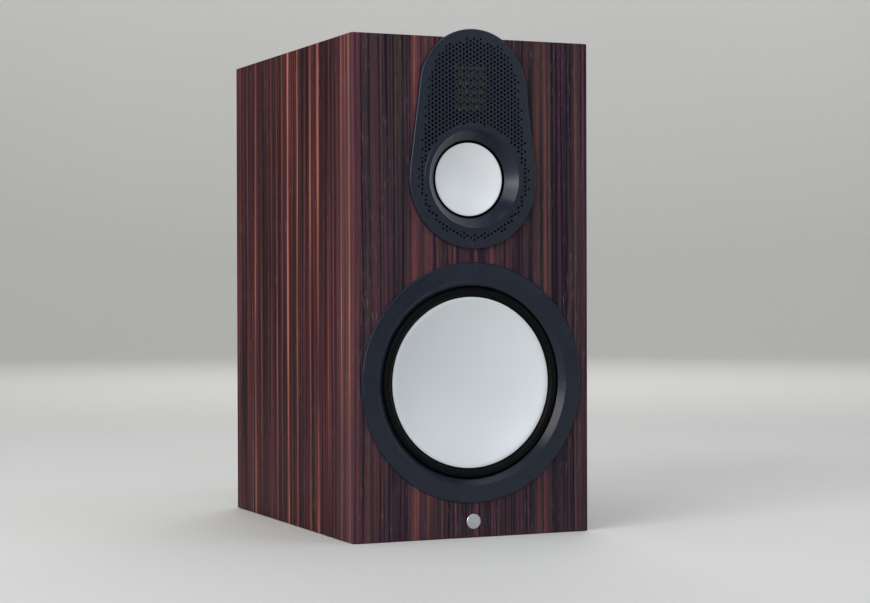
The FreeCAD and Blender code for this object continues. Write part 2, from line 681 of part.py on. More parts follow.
def woofer_motor():
    plate, magnet = "dims.woofer_plate_wall", "dims.woofer_magnet_wall"
    depth, radius = "dims.woofer_motor_depth", "dims.woofer_magnet_radius"
    coil = "dims.woofer_coil_radius"
    former = new_body("woofer_coil_former", WOOFER)
    inner, outer = f"{coil} - 0.15", f"{coil} + 0.15"
    revolve(former, [
        (inner, dish_depth(inner, *WOOFER_DISH)), (outer, dish_depth(outer, *WOOFER_DISH)),
        (outer, f"{depth} + {plate} / 2 + 9"), (inner, f"{depth} + {plate} / 2 + 9")])
    tube("woofer_voice_coil", WOOFER, outer, f"{outer} + 1.2",
         f"{depth} + {plate} / 2 - 7", f"{depth} + {plate} / 2 + 7")
    tube("woofer_top_plate", WOOFER, f"{coil} + 2.2", f"{radius} - 4", depth, f"{depth} + {plate}")
    tube("woofer_magnet", WOOFER, f"{coil} + 6", radius,
         f"{depth} + {plate}", f"{depth} + {plate} + {magnet}")
    yoke = new_body("woofer_yoke", WOOFER)
    back = f"{depth} + {plate} + {magnet}"
    revolve(yoke, [
        ("9", f"{depth} - 1"), (f"{coil} - 1.2", f"{depth} - 1"), (f"{coil} - 1.2", back),
        (f"{radius} - 4", back), (f"{radius} - 4", f"{back} + {plate} - 2"),
        (f"{radius} - 6", f"{back} + {plate}"), ("12", f"{back} + {plate}"), ("9", f"{back} + {plate} - 4")])


def spider(label, station, inner, outer, depth, waves, height, sheet_wall):
    """A corrugated disc: a zigzag section of even thickness between two flat lips."""
    body = new_body(label, station)
    first, last, count = value(inner), value(outer), 2 * waves
    lip = (last - first) / (count + 2)
    front = [(first, 0.0), (first + lip, 0.0)]
    for step in range(count - 1):
        front.append((first + lip * (step + 1.9), value(height) * (1 if step % 2 else -1)))
    front += [(last - lip, 0.0), (last, 0.0)]
    corners = [(f"{radius:.3f}", f"{depth} + {rise:.3f}") for radius, rise in front]
    corners += [(f"{radius:.3f}", f"{depth} + {sheet_wall} + {rise:.3f}") for radius, rise in reversed(front)]
    revolve(body, corners)


def woofer_spider():
    spider("woofer_spider", WOOFER, "dims.woofer_coil_radius + 0.15", "dims.woofer_spider_radius",
           "dims.woofer_spider_depth", waves=5, height="2.2", sheet_wall="0.6")


TAG_DROP, TAG_APART = "77", "16"


def woofer_tag_strip():
    """The two solder tags and their board, on the window side of one basket arm."""
    body = new_body("woofer_tag_strip", WOOFER)
    sketch = new_sketch(body, level="50.2")
    rectangle(sketch, "42", "8", "0", TAG_DROP)
    pad(body, sketch, "2")
    tags = new_sketch(body, level="52.2")
    for x in (f"-{TAG_APART}", TAG_APART):
        rectangle(tags, "4.8", "0.8", x, TAG_DROP)
    pad(body, tags, "9")


def screw_set(label, station, places, shank, head, head_wall, front, tip, key):
    """Socket-head screws, one solid each, their heads from front and their tips at tip."""
    body = new_body(label, station)
    heads = new_sketch(body, level=front)
    for x, y in places:
        circle(heads, head, x, y)
    pad(body, heads, head_wall)
    shanks = new_sketch(body, level=f"{front} + {head_wall}")
    for x, y in places:
        circle(shanks, shank, x, y)
    pad(body, shanks, f"{tip} - ({front} + {head_wall})")
    sockets = new_sketch(body, level=front)
    for x, y in places:
        hexagon(sockets, key, x, y)
    cut(body, sockets, f"{head_wall} * 0.6")


def hexagon(sketch, across_corners, x, y):
    corners = []
    for step in range(6):
        angle = math.radians(60 * step)
        corners.append((f"{x} + {across_corners} * {math.cos(angle):.6f}",
                        f"{y} + {across_corners} * {math.sin(angle):.6f}"))
    outline(sketch, corners)


def on_circle(radius, count, start=0.0):
    for step in range(count):
        angle = math.radians(start + 360 * step / count)
        yield f"{radius} * {math.cos(angle):.6f}", f"{radius} * {math.sin(angle):.6f}"


def woofer_screws():
    places = list(on_circle("dims.woofer_bolt_circle", int(value("dims.woofer_bolts"))))
    screw_set("woofer_screws", WOOFER, places, shank=WOOFER_SHANK, head="3.75", head_wall="3",
              front="0.5", tip="22", key="2.3")


# ---------------------------------------------------------------- midrange, tweeter and their housing

def edge_distance(x, y):
    """How far a point of the plate lies inside its outline."""
    low, high, rise = (value(f"dims.{n}") for n in ("array_low_radius", "array_high_radius", "tweeter_rise"))
    sine = (low - high) / rise
    cosine = math.sqrt(1 - sine * sine)
    along = -y * cosine - abs(x) * sine
    if along <= 0:
        return low - math.hypot(x, y)
    if along >= rise * cosine:
        return high - math.hypot(x, y + rise)
    return low - (abs(x) * cosine - y * sine)


def perforations():
    """Centres and radii of the plate's holes: a hexagonal field, finer and sparser towards its border."""
    pitch, margin = value("dims.hole_pitch"), value("dims.hole_margin")
    large, small = value("dims.hole_large"), value("dims.hole_small")
    covered = value("dims.ring_radius") + value("dims.hole_clear")
    column_pitch, fade = pitch * math.sqrt(3) / 2, 2 * pitch
    columns = int(value("dims.array_low_radius") / column_pitch)
    for column in range(-columns, columns + 1):
        for row in range(-16, 36):
            x = column * column_pitch
            y = -(row + 0.5 * (column % 2)) * pitch
            inside = edge_distance(x, y) - margin
            border = inside < 0.6 * pitch
            if inside < 0 or math.hypot(x, y) < covered or (border and row % 2):
                continue
            yield x, y, small + (large - small) * min(1, inside / fade)


def array_plate():
    """The perforated front plate: a rounded rim, and a thin skin with its holes across the rim's front."""
    body = new_body("array_plate", MIDRANGE)
    front = "-dims.array_proud"
    inner_low = "dims.array_low_radius - dims.array_rim"
    inner_high = "dims.array_high_radius - dims.array_rim"
    rim = new_sketch(body, level=front)
    egg(rim, "dims.array_low_radius", "dims.array_high_radius")
    slab = pad(body, rim, "dims.array_proud")
    level = value(front)
    fillet(body, slab, edges_where(slab, lambda e: lies_at(e, "Z", level)), "dims.array_edge")
    hollow = new_sketch(body, level=front)
    egg(hollow, inner_low, inner_high)
    cut(body, hollow, "dims.array_proud")
    skin = new_sketch(body, level=front)
    egg(skin, inner_low, inner_high)
    circle(skin, "dims.throat_radius + 1.2")
    skin.addGeometry(
        [Part.Circle(Vector(x, y, 0), Vector(0, 0, 1), radius) for x, y, radius in perforations()], False)
    pad(body, skin, "dims.array_skin")


HOUSING_BACK = "dims.array_rebate - dims.array_gasket"


def array_housing():
    """The moulding behind the plate, which carries the midrange and the tweeter on its back."""
    body = new_body("array_housing", MIDRANGE)
    seat_gap = "0.3"
    slab = new_sketch(body)
    egg(slab, f"{ARRAY_SEAT_LOW} - {seat_gap}", f"{ARRAY_SEAT_HIGH} - {seat_gap}")
    pad(body, slab, HOUSING_BACK)
    skirt = new_sketch(body, level=HOUSING_BACK)
    circle(skirt, "dims.mid_flange")
    pad(body, skirt, f"dims.mid_seat - ({HOUSING_BACK})")
    opening = new_sketch(body)
    circle(opening, "dims.throat_radius + 1.3")
    cut(body, opening, "dims.mid_seat")
    window = new_sketch(body, centre=("0", "-dims.tweeter_rise"))
    rectangle(window, "dims.tweeter_cup_wide + 1", "dims.tweeter_cup_tall + 1")
    cut(body, window, "dims.array_rebate")
    for radius, depth in (("3.6", "3"), ("2", "dims.array_rebate")):
        holes = new_sketch(body)
        for x, y in HOUSING_SCREWS:
            circle(holes, radius, x, y)
        cut(body, holes, depth)
    blind_holes(body, MID_SCREWS, "dims.mid_seat")
    blind_holes(body, TWEETER_SCREWS, HOUSING_BACK)


MID_SCREWS = list(on_circle("dims.mid_bolt_circle", 4, 45))
TWEETER_SCREWS = [
    (f"{sign_x}dims.tweeter_bolt_x", f"-dims.tweeter_rise {sign_y} 18")
    for sign_x in ("-", "") for sign_y in ("-", "+")]


def blind_holes(body, places, mouth):
    """Pilot holes cut forwards from a level."""
    holes = new_sketch(body, level=f"{mouth} - 5.5")
    for x, y in places:
        circle(holes, "1.3", x, y)
    cut(body, holes, "5.5")


def array_gasket():
    body = new_body("array_gasket", MIDRANGE)
    sketch = new_sketch(body, level=HOUSING_BACK)
    egg(sketch, f"{ARRAY_SEAT_LOW} - 0.6", f"{ARRAY_SEAT_HIGH} - 0.6")
    egg(sketch, f"{ARRAY_HOLE_LOW} + 0.5", f"{ARRAY_HOLE_HIGH} + 0.5")
    for x, y in HOUSING_SCREWS:
        circle(sketch, "2.1", x, y)
    pad(body, sketch, "dims.array_gasket")


def array_screws():
    """Six screws hold the housing to the baffle; four more hold the midrange to it, and four the tweeter."""
    screw_set("array_screws", MIDRANGE, HOUSING_SCREWS, shank=SCREW_SHANK, head="3.2", head_wall="2.3",
              front="0.6", tip="21", key="1.8")
    body = doc.getObjectsByLabel("array_screws")[0]
    behind = (
        (MID_SCREWS, "dims.mid_seat + 5", "dims.array_rebate - 1"),
        (TWEETER_SCREWS, f"{HOUSING_BACK} + dims.tweeter_flange", "dims.array_rebate - 5"))
    for places, head, tip in behind:
        shanks = new_sketch(body, level=tip)
        heads = new_sketch(body, level=head)
        for x, y in places:
            circle(shanks, "1.25", x, y)
            circle(heads, "2", x, y)
        pad(body, shanks, f"{head} - ({tip})")
        pad(body, heads, "1.8")


def mid_waveguide():
    body = new_body("mid_waveguide", MIDRANGE)
    front = "-dims.array_proud"
    rim, mouth = "dims.ring_radius", "dims.throat_radius"
    throat, deep, sleeve = "dims.throat_inner", "dims.throat_depth", f"{mouth} + 0.9"
    clear = "dims.mid_surround_outer + 0.1"
    revolve(body, [
        (mouth, f"{front} - 0.6"), (throat, deep), (throat, f"{deep} + 0.9"),
        (clear, f"{deep} + 0.9"), (clear, "dims.mid_seat"),
        (sleeve, "dims.mid_seat"), (sleeve, front), (rim, front),
        (rim, f"{front} - 0.3"), (f"{rim} - 0.4", f"{front} - 0.6")])


def mid_basket():
    body = new_body("mid_basket", MIDRANGE)
    front, motor, magnet = "dims.mid_seat", "dims.mid_motor_depth", "dims.mid_magnet_radius"
    flange = "dims.mid_flange"
    revolve(body, [
        ("42.2", front), (flange, front), (flange, f"{front} + 2.5"), ("46.2", f"{front} + 2.5"),
        ("43", "24"), ("36", motor), (f"{magnet} + 0.2", motor), (f"{magnet} + 0.2", f"{motor} - 2"),
        ("34.5", f"{motor} - 2"),
        ("36.5", "22.8"), ("29", "22.8"), ("29", "21"), ("40", "21"), ("42.2", f"{front} + 1.8")])
    holes = new_sketch(body, level=front)
    for x, y in MID_SCREWS:
        circle(holes, "1.7", x, y)
    cut(body, holes, "3")


def mid_surround():
    """An inverted half roll, lower than the cone's rim."""
    body = new_body("mid_surround", MIDRANGE)
    front, seat = "dims.mid_cone_depth + dims.mid_cone_wall", "dims.mid_seat"
    inner, outer = "dims.mid_surround_inner", "dims.mid_surround_outer"
    start, end = "dims.mid_roll_start", "dims.mid_roll_end"
    revolve(body, [
        (inner, front), (start, front, "-2.6"), (end, f"{seat} - 0.8"), (outer, f"{seat} - 0.8"),
        (outer, seat), (f"{end} - 0.3", seat, "2.9"), (f"{start} - 0.4", f"{front} + 0.7"),
        (inner, f"{front} + 0.7")])


def mid_cone():
    revolve(new_body("mid_cone", MIDRANGE), dish_profile(*MID_DISH))


def mid_motor():
    coil, depth = "dims.mid_coil_radius", "dims.mid_motor_depth"
    inner, outer = f"{coil} - 0.1", f"{coil} + 0.1"
    former = new_body("mid_coil_former", MIDRANGE)
    revolve(former, [
        (inner, dish_depth(inner, *MID_DISH)), (outer, dish_depth(outer, *MID_DISH)),
        (outer, f"{depth} + 6"), (inner, f"{depth} + 6")])
    tube("mid_voice_coil", MIDRANGE, outer, f"{outer} + 0.6", f"{depth} - 1.5", f"{depth} + 5.5")
    magnet = "dims.mid_magnet_radius"
    tube("mid_top_plate", MIDRANGE, f"{coil} + 1.2", magnet, depth, f"{depth} + 4")
    tube("mid_magnet", MIDRANGE, f"{coil} + 4.5", magnet, f"{depth} + 4", f"{depth} + 12")
    yoke = new_body("mid_yoke", MIDRANGE)
    pole = f"{coil} - 0.7"
    revolve(yoke, [
        ("3", f"{depth} - 0.5"), (pole, f"{depth} - 0.5"), (pole, f"{depth} + 12"),
        ("26", f"{depth} + 12"), ("26", f"{depth} + 16"), ("3", f"{depth} + 16")])
    spider("mid_spider", MIDRANGE, "dims.mid_coil_radius + 0.1", "dims.mid_spider_radius",
           "dims.mid_spider_depth", waves=4, height="0.9", sheet_wall="0.5")


def mid_back_chamber():
    body = new_body("mid_back_chamber", MIDRANGE)
    front, radius, wall = "(dims.mid_seat + 2.5)", "dims.chamber_radius", "2.5"
    back = "dims.chamber_depth"
    revolve(body, [
        ("47.5", front), ("dims.mid_flange", front), ("dims.mid_flange", f"{front} + 2.5"),
        (radius, f"{front} + 2.5"), (radius, f"{back} - 6", "6.5"), (f"{radius} - 6", back), ("0", back),
        ("0", f"{back} - {wall}"), (f"{radius} - 6.5", f"{back} - {wall}", "-4.6"),
        (f"{radius} - {wall}", f"{back} - 6.5")])
    holes = new_sketch(body, level=front)
    for x, y in MID_SCREWS:
        circle(holes, "1.7", x, y)
    cut(body, holes, "3")


# ---------------------------------------------------------------- folded-diaphragm tweeter

GRID_WALL = "2.4"
PLEAT_HEIGHT = "4"


def rounded_block(label, width, height, front, back, corner="3"):
    """A plate or block centred on the tweeter, with rounded corners."""
    body = new_body(label, TWEETER)
    sketch = new_sketch(body, level=front)
    x, y = f"({width}) / 2", f"({height}) / 2"
    outline(sketch, [
        (f"-{x} + {corner}", f"-{y}"), (f"{x} - {corner}", f"-{y}", corner), (x, f"-{y} + {corner}"),
        (x, f"{y} - {corner}", corner), (f"{x} - {corner}", y), (f"-{x} + {corner}", y, corner),
        (f"-{x}", f"{y} - {corner}"), (f"-{x}", f"-{y} + {corner}", corner)])
    pad(body, sketch, f"{back} - ({front})")
    return body


def cut_window(body, width, height, front, depth):
    window = new_sketch(body, level=front)
    rectangle(window, width, height)
    cut(body, window, depth)


def slots(body, front, depth):
    """A ladder of level slots across a pole plate."""
    pitch = "(dims.tweeter_tall + 3) / dims.tweeter_bars"
    sketch = new_sketch(body, level=front)
    for step in range(int(value("dims.tweeter_bars"))):
        centre = f"({step} + 0.5 - dims.tweeter_bars / 2) * {pitch}"
        rectangle(sketch, "dims.tweeter_width", f"{pitch} * 0.58", "0", centre)
    cut(body, sketch, depth)


def tweeter():
    wide, tall, grid = "dims.tweeter_width", "dims.tweeter_tall", "dims.tweeter_depth"
    cup_wide, cup_tall, flange = "dims.tweeter_cup_wide", "dims.tweeter_cup_tall", "dims.tweeter_flange"
    frame = rounded_block("tweeter_frame", f"{cup_wide} + 13", f"{cup_tall} + 6", HOUSING_BACK,
                          f"{HOUSING_BACK} + {flange}", "6")
    cut_window(frame, cup_wide, cup_tall, HOUSING_BACK, flange)
    holes = new_sketch(frame, level=HOUSING_BACK)
    for x, y in TWEETER_SCREWS:
        circle(holes, "1.7", x, f"{y} + dims.tweeter_rise")
    cut(frame, holes, flange)

    front_grid = rounded_block("tweeter_pole_grid", f"{wide} + 5", f"{tall} + 4.6", grid,
                               f"{grid} + {GRID_WALL}", "1")
    slots(front_grid, grid, GRID_WALL)
    diaphragm(f"{grid} + {GRID_WALL} + 0.3")
    rear = f"{grid} + {GRID_WALL} + 5.6"
    magnets = new_body("tweeter_magnets", TWEETER)
    bars = new_sketch(magnets, level=f"{grid} + {GRID_WALL}")
    for sign in ("-", ""):
        rectangle(bars, "2.2", f"{tall} + 2", f"{sign}({wide} / 2 + 1.3)")
    pad(magnets, bars, "5.6")
    plate = rounded_block("tweeter_rear_plate", f"{wide} + 5", f"{tall} + 4.6", rear, f"{rear} + 3", "1")
    slots(plate, rear, "3")
    cup = rounded_block("tweeter_rear_cup", cup_wide, cup_tall, grid, f"{rear} + 18", "4")
    cut_window(cup, f"{wide} + 5.4", f"{tall} + 5", grid, f"{rear} + 3 - {grid}")
    cut_window(cup, f"{wide} + 2", f"{tall}", f"{rear} + 3", "13")


def diaphragm(front):
    """One sheet folded into close pleats, as a single solid of even thickness."""
    wide, tall, folds = value("dims.tweeter_width"), value("dims.tweeter_tall"), 30
    near, far, sheet_wall = value(front), value(front) + value(PLEAT_HEIGHT), 0.25
    step = tall / folds
    outer, inner = [], []
    for fold in range(folds + 1):
        y = -tall / 2 + fold * step
        depth = near if fold % 2 else far - sheet_wall
        outer.append(Vector(0, y, depth))
        inner.append(Vector(0, y, depth + sheet_wall))
    section = Part.Face(Part.makePolygon(outer + inner[::-1] + outer[:1]))
    section.translate(Vector(-wide / 2, 0, 0))
    shaped("tweeter_diaphragm", section.extrude(Vector(wide, 0, 0)), TWEETER)


# ---------------------------------------------------------------- back

def port_tube():
    """The reflex port: a straight bore, flared at both ends, with a flange on the rear panel."""
    body = new_body("port_tube", PORT)
    bore, inside, wall = "dims.port_bore", "-dims.port_length", "3"
    outer, collar, flange = f"{bore} + {wall}", f"{bore} + 8", "dims.port_flange"
    revolve(body, [
        (f"{bore} + 6", inside, "-11.34"), (bore, f"{inside} + 10"), (bore, "-12", "-18.5"),
        (f"{bore} + 7", "2.5"), (f"{flange} - 1", "2.5", "-1.2"), (flange, "1.5"), (flange, "0"),
        (collar, "0"), (collar, "-17"), (outer, "-20"), (outer, f"{inside} + 12"),
        (f"{bore} + 8.5", inside)])


def terminal_plate():
    body = new_body("terminal_plate", TERMINALS)
    sketch = new_sketch(body)
    rectangle(sketch, "dims.terminal_wide", "dims.terminal_tall")
    slab = pad(body, sketch, "dims.terminal_wall")
    upright = edges_where(slab, lambda e: e.BoundBox.ZLength > 1)
    rounded = fillet(body, slab, upright, "6")
    outer = value("dims.terminal_wall")
    chamfer(body, rounded, edges_where(rounded, lambda e: lies_at(e, "Z", outer)), "0.8")
    posts = new_sketch(body)
    for x in ("-dims.post_spacing / 2", "dims.post_spacing / 2"):
        circle(posts, "dims.post_radius + 0.15", x)
    cut(body, posts, "dims.terminal_wall")
    for radius, front in (("1.8", "0"), ("3.4", "dims.terminal_wall - 2.2")):
        holes = new_sketch(body, level=front)
        for x, y in terminal_screw_places():
            circle(holes, radius, x, y)
        cut(body, holes, "dims.terminal_wall")


def terminal_screws():
    """Socket-head screws seen from outside: their heads face the row's +Y."""
    body = new_body("terminal_screws", TERMINALS)
    for radius, front, length in (("1.5", "-12", "dims.terminal_wall + 10"),
                                  ("3", "dims.terminal_wall - 2", "1.8")):
        sketch = new_sketch(body, level=front)
        for x, y in terminal_screw_places():
            circle(sketch, radius, x, y)
        pad(body, sketch, length)
    sockets = new_sketch(body, level="dims.terminal_wall - 1.6")
    for x, y in terminal_screw_places():
        hexagon(sockets, "1.6", x, y)
    cut(body, sockets, "2")


def binding_studs():
    """Two brass studs, each bored for a 4 mm plug, with a flange that the wire is clamped against."""
    body = new_body("binding_studs", TERMINALS)
    for radius, front, length in (("dims.post_radius", "-22", "dims.post_reach + 22"), ("7.5", "8", "2")):
        sketch = new_sketch(body, level=front)
        for x in ("-dims.post_spacing / 2", "dims.post_spacing / 2"):
            circle(sketch, radius, x)
        pad(body, sketch, length)
    bores = new_sketch(body, level="dims.post_reach - dims.plug_depth")
    for x in ("-dims.post_spacing / 2", "dims.post_spacing / 2"):
        circle(bores, "dims.plug_bore", x)
    cut(body, bores, "dims.plug_depth")


def post_collars():
    body = new_body("post_collars", TERMINALS)
    sketch = new_sketch(body, level="dims.terminal_wall")
    for x in ("-dims.post_spacing / 2", "dims.post_spacing / 2"):
        circle(sketch, "9.5", x)
        circle(sketch, "dims.post_radius + 0.06", x)
    pad(body, sketch, "8 - dims.terminal_wall")


def clamp_knob(side):
    """A knurled knob that runs on the stud's thread and carries a loose washer ahead of it."""
    station, back = POSTS[side], "dims.knob_back"
    bore, radius = "dims.post_radius + 0.06", "dims.knob_radius"
    tube(f"{side}_washer", station, bore, "6.8", f"{back} - 1.2", f"{back} - 0.2")
    body = new_body(f"{side}_knob", station)
    outer = f"{back} + dims.knob_length"
    revolve(body, [
        (bore, back), (f"{radius} - 1", back), (radius, f"{back} + 1"), (radius, f"{outer} - 1.4"),
        (f"{radius} - 1.4", outer), (f"{bore} + 1.2", outer), (bore, f"{outer} - 1.2")])
    groove = new_sketch(body, level=f"{back} + 2")
    circle(groove, "0.8", f"{radius} + 0.35")
    knurl = cut(body, groove, "dims.knob_length - 5")
    polar(body, [knurl], "24")


# ---------------------------------------------------------------- crossover, wiring and wadding

BOARD_TOP = "dims.board_height + dims.board_wall"


def crossover():
    board = new_body("crossover_board")
    sketch = new_sketch(board, level="dims.board_height", centre=("0", "dims.board_middle"))
    rectangle(sketch, "dims.board_wide", "dims.board_deep")
    corners = [(f"{x}(dims.board_wide / 2 - 7)", f"{y}(dims.board_deep / 2 - 7)") for x in ("-", "")
               for y in ("-", "")]
    for x, y in corners:
        circle(sketch, "1.7", x, y)
    pad(board, sketch, "dims.board_wall")

    standoffs = new_body("crossover_standoffs")
    columns = new_sketch(standoffs, level="dims.wall", centre=("0", "dims.board_middle"))
    pins = new_sketch(standoffs, level="dims.board_height", centre=("0", "dims.board_middle"))
    for x, y in corners:
        circle(columns, "4", x, y)
        circle(pins, "1.6", x, y)
    pad(standoffs, columns, "dims.board_height - dims.wall")
    pad(standoffs, pins, "dims.board_wall + 3")

    coils = new_body("crossover_coils")
    for x, y, inner, outer, height in (("-33", "-25", "12", "24", "20"), ("30", "-18", "9", "19", "16"),
                                       ("-34", "35", "7", "15", "14")):
        winding = new_sketch(coils, level=BOARD_TOP, centre=("0", "dims.board_middle"))
        circle(winding, inner, x, y)
        circle(winding, outer, x, y)
        pad(coils, winding, height)

    lying_cylinders("crossover_capacitors", (
        ("22", "16", "11", "46"), ("36", "38", "8", "34"), ("0", "40", "9", "30"), ("-34", "62", "6", "26")))

    resistors = new_body("crossover_resistors")
    blocks = new_sketch(resistors, level=f"{BOARD_TOP} + 1", centre=("0", "dims.board_middle"))
    for x, y in (("46", "62"), ("20", "60"), ("-46", "13")):
        rectangle(blocks, "18", "9", x, y)
    pad(resistors, blocks, "8.5")


def lying_cylinders(label, places):
    """Round cans on the board, their axes across the cabinet: x and y of the middle, radius and length."""
    body = new_body(label)
    for x, y, radius, length in places:
        ends = new_sketch(
            body, "YZ_Plane", f"{x} - {length} / 2",
            (f"dims.board_middle + {y}", f"{BOARD_TOP} + {radius} + 0.2"))
        circle(ends, radius)
        pad(body, ends, length)


def tube_along(points, radius):
    """A round tube along straight runs joined by tangent arcs, each as large as its two runs allow."""
    corners = [Vector(*(value(str(term)) for term in point)) for point in points]
    edges, at, radii = [], corners[0], []
    for before, corner, after in zip(corners, corners[1:], corners[2:]):
        into, out = (corner - before).normalize(), (after - corner).normalize()
        turn = into.getAngle(out)
        trim = 0.45 * min((corner - before).Length, (after - corner).Length)
        radii.append(trim / math.tan(turn / 2))
        start, end = corner - into * trim, corner + out * trim
        towards = (out - into).normalize()
        rise = radii[-1] * (1 / math.cos(turn / 2) - 1)
        edges.append(Part.LineSegment(at, start).toShape())
        edges.append(Part.Arc(start, corner + towards * rise, end).toShape())
        at = end
    edges.append(Part.LineSegment(at, corners[-1]).toShape())
    route = Part.Wire(edges)
    first = (corners[1] - corners[0]).normalize()
    profile = Part.Wire(Part.makeCircle(radius, corners[0], first))
    solid = route.makePipeShell([profile], True, False)
    expected = math.pi * radius ** 2 * route.Length
    if abs(solid.Volume / expected - 1) > 0.01:
        raise RuntimeError(f"a lead's volume is {solid.Volume:.1f}, not {expected:.1f}")
    print("lead:", round(route.Length, 1), "mm long, bends", [round(r, 1) for r in radii])
    return solid


def beside(points, shift):
    return [(f"{x} + {shift}", y, z) for x, y, z in points]


def post_leads():
    """From the studs' inner ends, down to the back of the board."""
    stud_end = "(dims.cabinet_depth / 2 - 22)"
    landing = "(dims.board_middle + dims.board_deep / 2 - 9)"
    post_level = "dims.terminal_height"
    for sign in ("-", ""):
        post = f"{sign}dims.post_spacing / 2"
        yield [
            (post, stud_end, post_level), (post, f"{stud_end} - 24", post_level),
            (f"{post} * 0.9", f"{stud_end} - 46", f"{post_level} - 30"),
            (f"{post} * 0.8", landing, "54"), (f"{post} * 0.8", landing, BOARD_TOP)]


def woofer_leads():
    """From the tags, down to the front of the board."""
    tags, tag_end = f"(dims.woofer_height - {TAG_DROP})", "(61.2 - dims.cabinet_depth / 2)"
    landing = "(dims.board_middle - dims.board_deep / 2 + 7)"
    for sign in ("-", ""):
        yield [
            (f"{sign}{TAG_APART}", tag_end, tags), (f"{sign}{TAG_APART}", f"{tag_end} + 19", tags),
            (f"{sign}14.5", f"{tag_end} + 38", f"{tags} - 12"), (f"{sign}11", landing, "46"),
            (f"{sign}11", landing, BOARD_TOP)]


def midrange_leads():
    """Up from the board, through the brace's right-hand window, to the back chamber."""
    chamber = "(dims.chamber_depth - dims.cabinet_depth / 2)"
    route = [
        ("57", "-10", BOARD_TOP), ("57", "-10", "62"), ("60", "-22", "112"), ("58", "-30", "165"),
        ("61", "-36", "218"), ("58", "-40", "268"), ("52", "-48", "308"), ("36", "-58", "340"),
        ("17", f"{chamber} + 22", "dims.mid_height"), ("17", chamber, "dims.mid_height")]
    yield from (route, beside(route, "-6"))


def tweeter_leads():
    """Up from the board, through the brace's left-hand window, to the tweeter's rear cup."""
    cup = "(dims.tweeter_depth + 26 - dims.cabinet_depth / 2)"
    level = "dims.mid_height + dims.tweeter_rise"
    route = [
        ("-53", "-45", BOARD_TOP), ("-53", "-45", "70"), ("-58", "-38", "118"), ("-61", "-34", "168"),
        ("-58", "-40", "220"), ("-60", "-48", "272"), ("-57", "-58", "324"), ("-60", "-74", "374"),
        ("-44", "-92", "416"), ("-16", f"{cup} + 31", level), ("-16", cup, level)]
    yield from (route, beside(route, "6"))


def leads():
    radius = value("dims.lead_radius")
    routes = [*post_leads(), *woofer_leads(), *midrange_leads(), *tweeter_leads()]
    shaped("internal_leads", Part.makeCompound([tube_along(route, radius) for route in routes]))


def woofer_tinsel_leads():
    """Limp braids from behind the cone, out through the basket's windows, to the tags."""
    braids = []
    for sign in ("-", ""):
        x = f"{sign}{TAG_APART}"
        braids.append(tube_along([
            (x, "41", "19.6"), (x, "55", "26"), (x, "70", "36"), (x, "84", "45"), (x, "88.5", "53"),
            (x, "86", "60"), (x, f"{TAG_DROP} + 0.4", "60")], value("dims.braid_radius")))
    shaped("woofer_tinsel_leads", Part.makeCompound(braids), WOOFER)


def acoustic_wadding():
    body = new_body("acoustic_wadding")
    sketch = new_sketch(body, level="dims.wadding_height")
    rectangle(sketch, "dims.wadding_wide", "dims.wadding_deep", "0", "dims.wadding_middle")
    slab = pad(body, sketch, "dims.wadding_tall")
    fillet(body, slab, edges_where(slab, lambda e: True), "dims.wadding_round")


# ---------------------------------------------------------------- the model

def build():
    front_baffle()
    wrap()
    stand_inserts()
    rear_panel()
    shelf_brace()
    badge()
    woofer_trim_ring()
    woofer_basket()
    woofer_gasket()
    woofer_surround()
    woofer_cone()
    woofer_motor()
    woofer_spider()
    woofer_tag_strip()
    woofer_screws()
    array_plate()
    array_housing()
    array_gasket()
    array_screws()
    mid_waveguide()
    mid_basket()
    mid_surround()
    mid_cone()
    mid_motor()
    mid_back_chamber()
    tweeter()
    port_tube()
    terminal_plate()
    terminal_screws()
    binding_studs()
    post_collars()
    for side in POSTS:
        clamp_knob(side)
    crossover()
    leads()
    woofer_tinsel_leads()
    acoustic_wadding()


def sub_parts():
    return [o for o in doc.Objects if o.TypeId in ("PartDesign::Body", "Part::Feature")]


def check_model():
    """Stops on any failed object, and on any sub-part whose shape is missing or invalid."""
    for thing in doc.Objects:
        if {"Invalid", "Error"} & set(thing.State):
            raise RuntimeError(f"{thing.Label} failed: {thing.State}")
    for part in sub_parts():
        if part.Shape.isNull() or not part.Shape.isValid() or not part.Shape.Solids:
            raise RuntimeError(f"{part.Label} has no valid solid")


def write_steps():
    os.makedirs("parts", exist_ok=True)
    for part in sub_parts():
        part.Shape.exportStep(f"parts/{part.Label}.step")
        print(f"{part.Label}: {len(part.Shape.Solids)} solid(s), {part.Shape.Volume / 1000:.2f} cm3")


build()
doc.recompute()
check_model()
write_steps()
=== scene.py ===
import json
import math

import bmesh
import bpy
import numpy as np
from mathutils import Matrix, Vector


